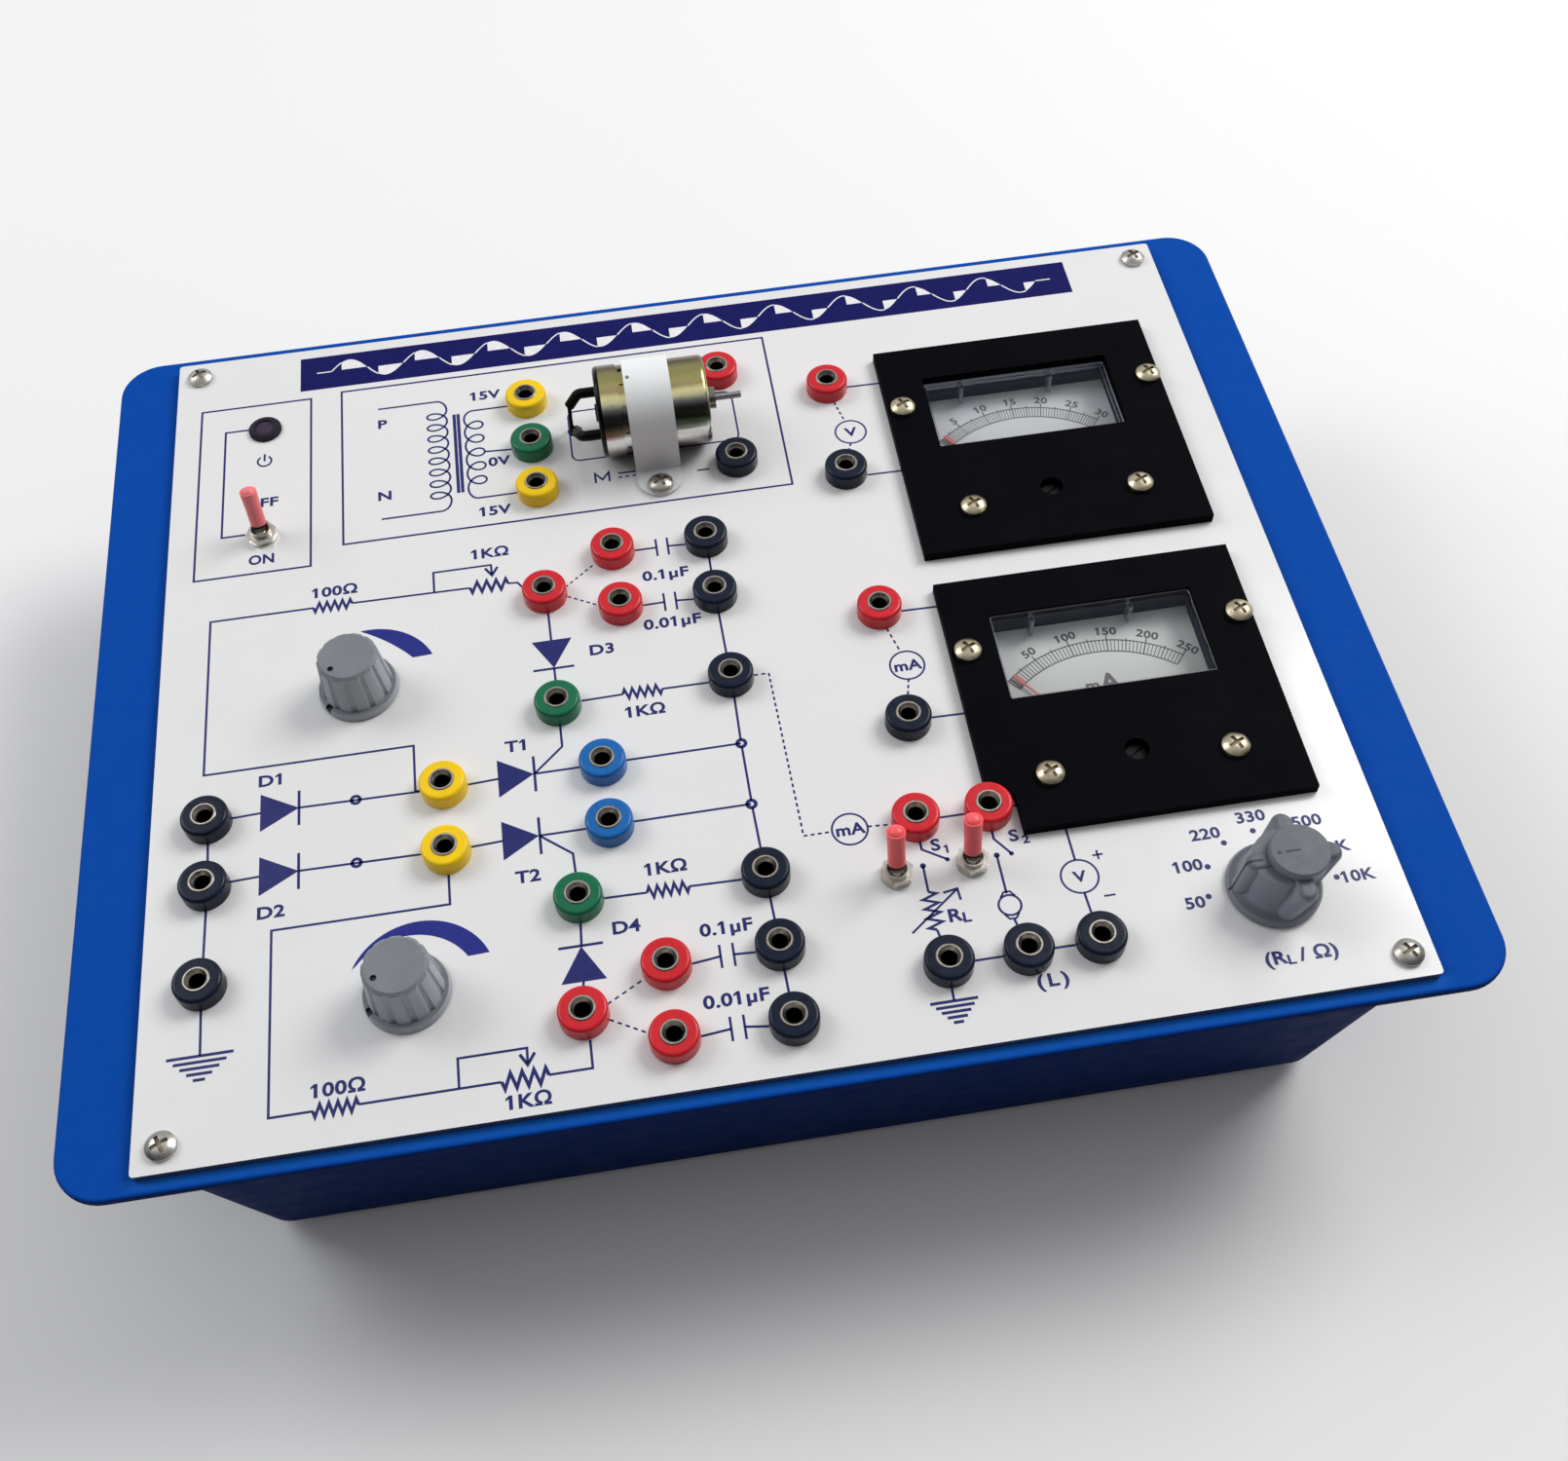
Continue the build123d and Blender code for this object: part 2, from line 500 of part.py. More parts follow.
with BuildPart(base) as rotary_switch_knob:
    add(knob_bell.part)
    for shape in wing_shapes:
        add(shape)
    # cap disc, set back like the tops of the wings
    with Locations((-3.2, 0, 0)):
        pillar(7.15, 13.0, 16.5)
        taper(7.15, 6.75, 16.5, 16.9)
    pillar(6.8, 0.5, 6.6, mode=Mode.SUBTRACT)
    pillar(3.0, 6.6, 13.0, mode=Mode.SUBTRACT)
keep(rotary_switch_knob, "rotary_switch_knob")

# ------------------------------------------------------- nuts behind the knobs
with BuildPart() as control_nuts:
    for place in TOGGLES:
        with Locations(at(place[0], place[1])):
            pillar(4.1, 0.0, 0.5)
            pillar(2.92, 0.0, 0.5, mode=Mode.SUBTRACT)
        with BuildSketch(Plane(origin=at(place[0], place[1], 0.5))):
            RegularPolygon(3.7, 6, major_radius=False, rotation=12)
            Circle(2.92, mode=Mode.SUBTRACT)
        extrude(amount=1.9)
        with BuildSketch(Plane(origin=at(place[0], place[1], -4.8))):
            RegularPolygon(4.0, 6, major_radius=False)
            Circle(2.92, mode=Mode.SUBTRACT)
        extrude(amount=2.2)
    for place in POTS:
        with BuildSketch(Plane(origin=at(place[0], place[1], 0.0))):
            RegularPolygon(5.0, 6, major_radius=False)
            Circle(3.52, mode=Mode.SUBTRACT)
        extrude(amount=2.2)
    with BuildSketch(Plane(origin=at(ROTARY[0], ROTARY[1], 0.0))):
        RegularPolygon(5.6, 6, major_radius=False)
        Circle(4.52, mode=Mode.SUBTRACT)
    extrude(amount=2.4)
    with BuildSketch(Plane(origin=at(LAMP[0], LAMP[1], -5.0))):
        RegularPolygon(5.2, 6, major_radius=False)
        Circle(4.02, mode=Mode.SUBTRACT)
    extrude(amount=2.4)
keep(control_nuts, "control_nuts")

# ---------------------------------------------------------------------- lamp
with BuildPart() as lamp_holder:
    with Locations(at(*LAMP)):
        pillar(4.0, -9.0, 0.0)
        pillar(4.8, 0.0, 0.8)
        taper(4.8, 3.9, 0.8, 1.5)
        pillar(2.75, -9.0, 1.5, mode=Mode.SUBTRACT)
keep(lamp_holder, "lamp_holder")

with BuildPart() as lamp_lens:
    with Locations(at(*LAMP)):
        pillar(2.7, -6.0, 1.1)
        with Locations((0, 0, 1.1 - 3.6)):
            Sphere(4.5, arc_size1=53.1301)
        with Locations((-1.27, 0, -8.0), (1.27, 0, -8.0)):
            Cylinder(0.25, 14.0)
keep(lamp_lens, "lamp_lens")

# --------------------------------------------------------------------- motor
along = Plane(origin=at(0, MOTOR_Y, MOTOR_AXIS_Z), x_dir=(0, 1, 0), z_dir=(1, 0, 0))
with BuildPart(along) as motor_can:
    pillar(MOTOR_R, 132.4, 157.6)
    edge = motor_can.edges().filter_by(GeomType.CIRCLE).sort_by(Axis.X)
    fillet([e for e in edge if abs(e.radius - MOTOR_R) < 0.01 and e.center().X > 157.0 - X0], 1.5)
    pillar(3.1, 157.6, 159.8)
    pillar(MOTOR_R - 0.9, 132.4, 156.0, mode=Mode.SUBTRACT)
    pillar(1.25, 155.0, 160.0, mode=Mode.SUBTRACT)
    # crimps round the open end, beside the end cap
    with Locations((0, 0, 133.55)):
        with PolarLocations(MOTOR_R, 12, start_angle=15):
            Box(1.0, 1.8, 1.1, mode=Mode.SUBTRACT)
keep(motor_can, "motor_can")

with BuildPart(along) as motor_end_cap:
    pillar(MOTOR_CAP_R, 125.8, 132.4)
    fillet(motor_end_cap.edges().sort_by(Axis.X)[0], 1.1)
    pillar(2.6, 125.1, 125.8)
    pillar(MOTOR_R - 1.2, 128.0, 132.4, mode=Mode.SUBTRACT)
    pillar(1.25, 124.6, 128.0, mode=Mode.SUBTRACT)
    with Locations((8.6, 0, 124.4), (-8.6, 0, 124.4)):
        Box(2.4, 0.6, 2.8)
keep(motor_end_cap, "motor_end_cap")

with BuildPart(along) as motor_armature:
    pillar(1.2, 125.4, 159.9)
    pillar(1.0, 159.9, 167.3)
    pillar(8.8, 136.0, 152.5)
    pillar(3.4, 130.0, 136.0)
keep(motor_armature, "motor_armature")

with BuildPart() as motor_strap:
    with BuildSketch(Plane(origin=at(STRAP_X, MOTOR_Y, 0), x_dir=(0, 1, 0), z_dir=(1, 0, 0))):
        outer, inner = MOTOR_R + 0.15 + STRAP_T, MOTOR_R + 0.15
        with Locations((0, MOTOR_AXIS_Z)):
            Circle(outer)
        with Locations((0, MOTOR_AXIS_Z / 2)):
            Rectangle(2 * outer, MOTOR_AXIS_Z)
        with Locations((0, -outer)):
            Rectangle(4 * outer, 2 * outer, mode=Mode.SUBTRACT)
        with Locations((0, MOTOR_AXIS_Z)):
            Circle(inner, mode=Mode.SUBTRACT)
        with Locations((0, MOTOR_AXIS_Z / 2)):
            Rectangle(2 * inner, MOTOR_AXIS_Z, mode=Mode.SUBTRACT)
    extrude(amount=STRAP_W / 2, both=True)
    with BuildSketch(Plane(origin=at(STRAP_X, MOTOR_Y, 0))):
        reach = 23.4
        for side in (-1, 1):
            with Locations((0, side * (outer - 0.5 + reach - 6.5) / 2)):
                Rectangle(STRAP_W, reach - 6.5 - (outer - 0.5))
            with Locations((0, side * (reach - 6.5))):
                Circle(STRAP_W / 2)
        with Locations((0, -19.8), (0, 19.8)):
            Circle(1.8, mode=Mode.SUBTRACT)
        with Locations((0, 0)):
            Rectangle(STRAP_W, 2 * inner, mode=Mode.SUBTRACT)
    extrude(amount=STRAP_T)
    # small locating hole near one edge of the strap
    with Locations(at(135.5, MOTOR_Y - 1.4, MOTOR_AXIS_Z + MOTOR_R - 0.5)):
        Cylinder(0.6, 3.0, align=(Align.CENTER, Align.CENTER, Align.MIN), mode=Mode.SUBTRACT)
keep(motor_strap, "motor_strap")

strap_screw = pan_screw(3.6, 2.4, 1.5, 8.0, z_seat=STRAP_T)
with BuildPart() as motor_strap_screws:
    with Locations(*spots(STRAP_SCREWS)):
        add(strap_screw.part)
keep(motor_strap_screws, "motor_strap_screws")

# Two motor leads: each leaves its tag inside a sleeve and bends down as thin
# insulated wire through the hole in the panel.
LEADS = [
    (MOTOR_Y + 8.6, [(117.6, 212.6, 8.8), (117.3, 211.8, 4.0), (117.2, 211.5, -2.0), (117.2, 211.5, -9.0)]),
    (MOTOR_Y - 8.6, [(118.9, 202.0, 8.6), (118.9, 209.0, 3.5), (118.9, 210.6, -2.0), (118.9, 210.6, -9.0)]),
]
with BuildPart() as motor_leads:
    for tag_y, route in LEADS:
        points = [Vector(*at(*p)) for p in [(123.0, tag_y, MOTOR_AXIS_Z), (120.6, tag_y, MOTOR_AXIS_Z)] + route]
        with BuildLine() as wire:
            FilletPolyline(*points, radius=[1.9, 1.4, 1.6, 1.6])
        with BuildSketch(Plane(origin=points[0], z_dir=(-1, 0, 0))):
            Circle(0.6)
        sweep(path=wire.line)
        # the sleeve starts over the tag and ends part of the way down
        cap_face = points[0] + Vector(2.7, 0, 0)
        with BuildLine() as cover:
            FilletPolyline(cap_face, points[1], points[1] + (points[2] - points[1]) * 0.97, radius=1.9)
        with BuildSketch(Plane(origin=cap_face, z_dir=(-1, 0, 0))):
            Circle(1.5)
        sweep(path=cover.line)
        with Locations(Location(cap_face, (0, -90, 0))):
            Cylinder(1.27, 2.7, align=(Align.CENTER, Align.CENTER, Align.MIN), mode=Mode.SUBTRACT)
keep(motor_leads, "motor_leads")

# ------------------------------------------------------------- inside the tub
with BuildPart() as transformer_core:
    tx, ty = TRAFO_C
    low = FLOOR_Z - PANEL_Z
    block(tx - 25, tx + 25, ty - 10, ty + 10, low + 1.0, low + 36.0)
    block(tx - 15.5, tx - 8.5, ty - 10, ty + 10, low + 9.5, low + 27.5, mode=Mode.SUBTRACT)
    block(tx + 8.5, tx + 15.5, ty - 10, ty + 10, low + 9.5, low + 27.5, mode=Mode.SUBTRACT)
    block(tx - 34, tx + 34, ty - 10, ty + 10, low, low + 1.0)
    with Locations(at(tx - 29.5, ty, low), at(tx + 29.5, ty, low)):
        Cylinder(1.9, 1.0, align=(Align.CENTER, Align.CENTER, Align.MIN), mode=Mode.SUBTRACT)
keep(transformer_core, "transformer_core")

with BuildPart() as transformer_winding:
    block(tx - 15.4, tx + 15.4, ty - 18, ty + 18, low + 9.6, low + 27.4)
    block(tx - 8.5, tx + 8.5, ty - 10, ty + 10, low + 9.0, low + 28.0, mode=Mode.SUBTRACT)
    block(tx - 16, tx + 16, ty - 10, ty + 10, low + 27.5, low + 29.0, mode=Mode.SUBTRACT)
keep(transformer_winding, "transformer_winding")

BOARD_HOLES = [(BOARD_C[0] + sx * (BOARD_W / 2 - 5), BOARD_C[1] + sy * (BOARD_D / 2 - 5)) for sx in (-1, 1) for sy in (-1, 1)]
with BuildPart() as circuit_board:
    with BuildSketch(Plane.XY.offset(BOARD_Z)):
        with Locations((BOARD_C[0] - X0, BOARD_C[1] - Y0)):
            RectangleRounded(BOARD_W, BOARD_D, 2.0)
        with Locations(*[(x - X0, y - Y0) for x, y in BOARD_HOLES]):
            Circle(1.7, mode=Mode.SUBTRACT)
    extrude(amount=1.6)
keep(circuit_board, "circuit_board")

with BuildPart() as board_standoffs:
    with BuildSketch(Plane.XY.offset(FLOOR_Z)):
        with Locations(*[(x - X0, y - Y0) for x, y in BOARD_HOLES]):
            RegularPolygon(3.0, 6, major_radius=False)
        with Locations(*[(x - X0, y - Y0) for x, y in BOARD_HOLES]):
            Circle(1.5, mode=Mode.SUBTRACT)
    extrude(amount=BOARD_Z - FLOOR_Z)
keep(board_standoffs, "board_standoffs")

with BuildPart() as chassis_screws:
    with Locations(*[(x - X0, y - Y0, 0) for x, y in FEET]):
        add(foot_screw.part)
    with Locations(*[(x - X0, y - Y0, BOARD_Z + 1.6) for x, y in BOARD_HOLES]):
        Cylinder(2.8, 1.8, align=(Align.CENTER, Align.CENTER, Align.MIN))
        Cylinder(1.45, 7.0, align=(Align.CENTER, Align.CENTER, Align.MAX))
    with Locations(at(tx - 29.5, ty, low + 1.0), at(tx + 29.5, ty, low + 1.0)):
        Cylinder(3.4, 2.0, align=(Align.CENTER, Align.CENTER, Align.MIN))
        Cylinder(1.8, 1.0, align=(Align.CENTER, Align.CENTER, Align.MAX))
keep(chassis_screws, "chassis_screws")

top = BOARD_Z + 1.6 - PANEL_Z
bx, by = BOARD_C
with BuildPart() as board_components:
    # two thyristors standing on their legs
    for dx in (-14.0, 14.0):
        block(bx + dx - 5, bx + dx + 5, by + 18, by + 22.5, top + 3.0, top + 12.0)
        block(bx + dx - 5, bx + dx + 5, by + 21.2, by + 22.5, top + 12.0, top + 18.5)
        for leg in (-2.54, 0, 2.54):
            block(bx + dx + leg - 0.4, bx + dx + leg + 0.4, by + 19.5, by + 20.1, top, top + 3.0)
    # four rectifier diodes
    for row in range(4):
        centre = at(bx - 38, by - 24 + 8 * row, top + 1.6)
        with Locations(centre):
            Cylinder(1.35, 5.2, rotation=(0, 90, 0))
            Cylinder(0.4, 11.0, rotation=(0, 90, 0))
        for side in (-5.5, 5.5):
            block(bx - 38 + side - 0.4, bx - 38 + side + 0.4, by - 24.4 + 8 * row, by - 23.6 + 8 * row, top, top + 1.6)
    # six fixed resistors
    for row in range(6):
        centre = at(bx + 32, by - 28 + 8 * row, top + 1.8)
        with Locations(centre):
            Cylinder(1.5, 7.5, rotation=(0, 90, 0))
            Cylinder(0.35, 13.0, rotation=(0, 90, 0))
        for side in (-6.5, 6.5):
            block(bx + 32 + side - 0.35, bx + 32 + side + 0.35, by - 28.35 + 8 * row, by - 27.65 + 8 * row, top, top + 1.8)
    # four film capacitors
    for dx in (-12.0, -4.0, 4.0, 12.0):
        block(bx + dx - 1.8, bx + dx + 1.8, by - 24, by - 14, top, top + 9.0)
keep(board_components, "board_components")

# --------------------------------------------------------------- mains inlet
with BuildPart(inlet_plane) as mains_inlet:
    with BuildSketch(inlet_plane):
        RectangleRounded(50.0, 31.0, 3.0)
    extrude(amount=2.5)
    with BuildSketch(inlet_plane):
        Rectangle(27.6, 29.0)
    extrude(amount=-22.0)
    with BuildSketch(inlet_plane.offset(2.5)):
        with Locations((0, -4.1)):
            Rectangle(24.4, 16.8)
        for side in (-1, 1):
            with Locations((side * 12.2, 4.3)):
                Rectangle(5.6, 5.6, rotation=45, mode=Mode.SUBTRACT)
    extrude(amount=-16.0, mode=Mode.SUBTRACT)
    with BuildSketch(inlet_plane.offset(2.5)):
        with Locations((0, 9.4)):
            Rectangle(21.2, 6.3)
    extrude(amount=-21.0, mode=Mode.SUBTRACT)
keep(mains_inlet, "mains_inlet")

with BuildPart(inlet_plane) as inlet_pins:
    with Locations((7.0, -5.5, -13.5), (-7.0, -5.5, -13.5), (0, -1.5, -13.5)):
        Box(2.0, 4.0, 10.0, align=(Align.CENTER, Align.CENTER, Align.MIN))
keep(inlet_pins, "inlet_pins")

with BuildPart(inlet_plane) as fuse_drawer:
    with Locations((0, 9.4, -18.2)):
        Box(20.8, 5.9, 20.7, align=(Align.CENTER, Align.CENTER, Align.MIN))
    with Locations((0, 9.4, 2.55)):
        Box(22.6, 7.0, 1.4, align=(Align.CENTER, Align.CENTER, Align.MIN))
    with Locations((0, 9.4, 2.5)):
        Box(20.8, 5.9, 0.05, align=(Align.CENTER, Align.CENTER, Align.MIN))
    with Locations((0, 9.4, -16.0)):
        Box(18.0, 7.0, 14.0, align=(Align.CENTER, Align.CENTER, Align.MIN), mode=Mode.SUBTRACT)
keep(fuse_drawer, "fuse_drawer")

with BuildPart(inlet_plane) as fuse:
    with Locations((0, 9.4, -9.0)):
        Cylinder(2.4, 17.9, rotation=(0, 90, 0))
keep(fuse, "fuse")
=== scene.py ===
import bpy, bmesh, math, random
from mathutils import Vector, Matrix


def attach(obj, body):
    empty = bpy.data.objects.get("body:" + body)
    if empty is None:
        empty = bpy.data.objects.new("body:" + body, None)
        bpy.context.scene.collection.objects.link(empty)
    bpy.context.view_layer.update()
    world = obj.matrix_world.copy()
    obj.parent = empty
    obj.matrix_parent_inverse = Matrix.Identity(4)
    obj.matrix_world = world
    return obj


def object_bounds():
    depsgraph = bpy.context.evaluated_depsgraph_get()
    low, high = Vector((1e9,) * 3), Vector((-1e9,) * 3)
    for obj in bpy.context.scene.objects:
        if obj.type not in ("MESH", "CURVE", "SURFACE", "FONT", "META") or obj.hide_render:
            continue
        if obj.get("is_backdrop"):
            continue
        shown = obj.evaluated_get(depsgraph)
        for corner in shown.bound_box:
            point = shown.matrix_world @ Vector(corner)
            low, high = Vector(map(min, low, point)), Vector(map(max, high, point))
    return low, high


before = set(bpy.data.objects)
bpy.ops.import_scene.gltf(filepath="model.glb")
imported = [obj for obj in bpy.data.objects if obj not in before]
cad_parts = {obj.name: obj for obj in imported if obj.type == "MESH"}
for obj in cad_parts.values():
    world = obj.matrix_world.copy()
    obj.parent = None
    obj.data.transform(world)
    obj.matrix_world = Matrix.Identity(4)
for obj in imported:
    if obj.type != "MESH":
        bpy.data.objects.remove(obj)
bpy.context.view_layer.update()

MM = 0.001
X0, Y0, PANEL_Z = 152.5, 130.75, 73.0


def at(x, y, z=0.0):
    """A point given in millimetres on the panel: from its front left corner, z above its top face."""
    return Vector(((x - X0) * MM, (y - Y0) * MM, (z + PANEL_Z) * MM))


# ------------------------------------------------------------------ materials
class Shader:
    """A small builder for procedural node materials."""

    def __init__(self, name, base, rough, metal=0.0, coat=0.0, coat_rough=0.05, ior=1.5, spec=0.5):
        self.mat = bpy.data.materials.new(name)
        self.mat.use_nodes = True
        self.nt = self.mat.node_tree
        self.n = self.nt.nodes
        self.p = next(n for n in self.n if n.type == "BSDF_PRINCIPLED")
        self.p.inputs["Base Color"].default_value = (*base, 1.0)
        self.p.inputs["Roughness"].default_value = rough
        self.p.inputs["Metallic"].default_value = metal
        self.p.inputs["Coat Weight"].default_value = coat
        self.p.inputs["Coat Roughness"].default_value = coat_rough
        self.p.inputs["IOR"].default_value = ior
        self.p.inputs["Specular IOR Level"].default_value = spec
        self.base = base
        self.rough = rough
        self.tc = self.n.new("ShaderNodeTexCoord")
        self.co = self.tc.outputs["Object"]
        self.height = []
        self.colour = None

    def link(self, a, b):
        self.nt.links.new(a, b)

    def mapped(self, scale=(1, 1, 1), loc=(0, 0, 0), rot=(0, 0, 0)):
        m = self.n.new("ShaderNodeMapping")
        m.inputs["Scale"].default_value = scale
        m.inputs["Location"].default_value = loc
        m.inputs["Rotation"].default_value = rot
        self.link(self.co, m.inputs["Vector"])
        return m.outputs[0]

    def noise(self, scale, detail=3.0, rough=0.55, vec=None, distort=0.0):
        t = self.n.new("ShaderNodeTexNoise")
        t.inputs["Scale"].default_value = scale
        t.inputs["Detail"].default_value = detail
        t.inputs["Roughness"].default_value = rough
        t.inputs["Distortion"].default_value = distort
        self.link(vec or self.co, t.inputs["Vector"])
        return t.outputs["Fac"]

    def voronoi(self, scale, vec=None, feature="F1", out="Distance", random_=1.0):
        t = self.n.new("ShaderNodeTexVoronoi")
        t.feature = feature
        t.inputs["Scale"].default_value = scale
        t.inputs["Randomness"].default_value = random_
        self.link(vec or self.co, t.inputs["Vector"])
        return t.outputs[out]

    def span(self, fac, a, b, lo=0.0, hi=1.0):
        """Maps fac from a..b to lo..hi, clamped."""
        m = self.n.new("ShaderNodeMapRange")
        m.inputs["From Min"].default_value = a
        m.inputs["From Max"].default_value = b
        m.inputs["To Min"].default_value = lo
        m.inputs["To Max"].default_value = hi
        m.clamp = True
        self.link(fac, m.inputs["Value"])
        return m.outputs[0]

    def maths(self, op, a, b=None):
        m = self.n.new("ShaderNodeMath")
        m.operation = op
        for i, v in enumerate((a, b)):
            if v is None:
                continue
            if isinstance(v, (int, float)):
                m.inputs[i].default_value = v
            else:
                self.link(v, m.inputs[i])
        return m.outputs[0]

    def axis(self, which):
        s = self.n.new("ShaderNodeSeparateXYZ")
        self.link(self.co, s.inputs[0])
        return s.outputs["XYZ".index(which)]

    def normal_axis(self, which):
        g = self.n.new("ShaderNodeNewGeometry")
        s = self.n.new("ShaderNodeSeparateXYZ")
        self.link(g.outputs["Normal"], s.inputs[0])
        return s.outputs["XYZ".index(which)]

    def local(self, node, point):
        """A point of the frame in the coordinates of one of its objects."""
        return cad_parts[node].matrix_world.inverted() @ point

    def near(self, point, inner, outer):
        """1 within inner metres of a local point, 0 beyond outer."""
        d = self.n.new("ShaderNodeVectorMath")
        d.operation = "DISTANCE"
        self.link(self.co, d.inputs[0])
        d.inputs[1].default_value = tuple(point)
        return self.span(d.outputs["Value"], inner, outer, 1.0, 0.0)

    def within(self, low, high, soft=0.00008):
        """1 inside a local box, 0 outside it."""
        fac = None
        for axis, a, b in zip("XYZ", low, high):
            co = self.axis(axis)
            for edge, sign in ((a, 1), (b, -1)):
                if edge is None:
                    continue
                m = self.span(co, edge - soft, edge + soft, 0.0 if sign > 0 else 1.0, 1.0 if sign > 0 else 0.0)
                fac = m if fac is None else self.maths("MULTIPLY", fac, m)
        return fac

    def ramp(self, fac, stops):
        r = self.n.new("ShaderNodeValToRGB")
        els = r.color_ramp.elements
        while len(els) < len(stops):
            els.new(0.5)
        for e, (pos, col) in zip(els, stops):
            e.position = pos
            e.color = (*col, 1.0)
        self.link(fac, r.inputs["Fac"])
        return r.outputs["Color"]

    def tint(self, fac, colour, kind="MIX"):
        """Lays a colour over what the base colour already is, by fac."""
        m = self.n.new("ShaderNodeMix")
        m.data_type = "RGBA"
        m.blend_type = kind
        m.clamp_factor = True
        a = [i for i in m.inputs if i.name == "A" and i.type == "RGBA"][0]
        b = [i for i in m.inputs if i.name == "B" and i.type == "RGBA"][0]
        f = [i for i in m.inputs if i.name == "Factor" and i.type == "VALUE"][0]
        o = [i for i in m.outputs if i.type == "RGBA"][0]
        if self.colour is None:
            a.default_value = (*self.base, 1.0)
        else:
            self.link(self.colour, a)
        if isinstance(colour, tuple):
            b.default_value = (*colour, 1.0)
        else:
            self.link(colour, b)
        if isinstance(fac, (int, float)):
            f.default_value = fac
        else:
            self.link(fac, f)
        self.colour = o
        return self

    def bump(self, height, distance, strength=1.0):
        self.height.append((height, distance, strength))
        return self

    def roughness(self, fac, a, b, lo, hi):
        self.link(self.span(fac, a, b, lo, hi), self.p.inputs["Roughness"])
        return self

    def done(self):
        if self.colour is not None:
            self.link(self.colour, self.p.inputs["Base Color"])
        last = None
        for height, distance, strength in self.height:
            b = self.n.new("ShaderNodeBump")
            b.inputs["Distance"].default_value = distance
            b.inputs["Strength"].default_value = strength
            self.link(height, b.inputs["Height"])
            if last is not None:
                self.link(last, b.inputs["Normal"])
            last = b.outputs["Normal"]
        if last is not None:
            self.link(last, self.p.inputs["Normal"])
        return self.mat


def gloss_plastic(name, base, rough=0.18, coat=0.35, vary=0.12, spec=0.5):
    s = Shader(name, base, rough, coat=coat, coat_rough=0.06, spec=spec)
    cloud = s.noise(140, 3)
    s.tint(s.span(cloud, 0.35, 0.7, 0, 1), tuple(c * (1 - vary) for c in base))
    s.tint(s.span(s.noise(2600, 2), 0.62, 0.74, 0, 0.35), tuple(min(1, c * 1.3 + 0.01) for c in base))
    s.roughness(s.noise(420, 4), 0.3, 0.75, rough * 0.75, rough * 1.6)
    s.bump(s.noise(900, 3), 0.00003, 0.35)
    return s.done()


def matte_plastic(name, base, rough=0.5, grain=2200, depth=0.00004, vary=0.18, spec=0.5):
    s = Shader(name, base, rough, spec=spec)
    s.tint(s.span(s.noise(90, 4), 0.35, 0.7, 0, 1), tuple(c * (1 - vary) for c in base))
    s.tint(s.span(s.noise(grain * 1.3, 2), 0.45, 0.75, 0, 0.4), tuple(min(1, c * 1.25 + 0.004) for c in base))
    s.roughness(s.noise(300, 4), 0.3, 0.75, rough * 0.85, min(1, rough * 1.2))
    s.bump(s.noise(grain, 3), depth, 0.5)
    return s.done()


def plated(name, base, rough=0.28, dirt=(0.12, 0.10, 0.08), scratch=(1, 1, 1)):
    s = Shader(name, base, rough, metal=1.0)
    s.tint(s.span(s.noise(260, 4), 0.42, 0.72, 0, 0.7), tuple(c * 0.72 for c in base))
    s.tint(s.span(s.noise(700, 5), 0.6, 0.72, 0, 0.55), dirt)
    s.roughness(s.noise(480, 5), 0.3, 0.75, rough * 0.7, min(1, rough * 1.9))
    s.bump(s.noise(1500, 3, vec=s.mapped(scratch)), 0.00002, 0.45)
    return s.done()


def blue_cabinet():
    base = (0.0018, 0.062, 0.365)
    s = Shader("blue_moulding", base, 0.62, spec=0.03)
    s.tint(s.span(s.noise(26, 5, 0.6), 0.35, 0.7, 0, 0.45), (0.0016, 0.060, 0.345))
    s.tint(s.span(s.noise(950, 3), 0.5, 0.75, 0, 0.45), (0.003, 0.082, 0.43))
    s.tint(s.span(s.noise(3200, 2), 0.60, 0.78, 0, 0.30), (0.001, 0.045, 0.27))
    # painted shade: the tub and the upright faces of the rim are darkened to a deeper blue, most of all along the foot
    s.tint(s.span(s.normal_axis("Z"), 0.35, 0.80, 0.95, 0.0), (0.0007, 0.0105, 0.074))
    # painted highlight: the strip of the rim beside the panel's front edge is painted a lighter blue, where it catches
    # the light
    strip = s.maths("MULTIPLY", s.span(s.axis("Y"), -0.1338, -0.1316, 0.0, 1.0), s.span(s.axis("Y"), -0.1306, -0.1300, 1.0, 0.0))
    strip = s.maths("MULTIPLY", strip, s.span(s.maths("ABSOLUTE", s.axis("X")), 0.1495, 0.1560, 1.0, 0.0))
    s.tint(s.maths("MULTIPLY", strip, s.span(s.normal_axis("Z"), 0.5, 0.9, 0.0, 0.9)), (0.012, 0.150, 0.64))
    # painted shade, darker towards the foot of the tub
    s.tint(s.span(s.axis("Z"), 0.004, 0.020, 0.45, 0.0), (0.001, 0.012, 0.080))
    s.roughness(s.noise(160, 5), 0.3, 0.75, 0.52, 0.72)
    s.bump(s.noise(1900, 3), 0.00008, 0.35)
    s.bump(s.noise(420, 2), 0.00010, 0.22)
    return s.done()


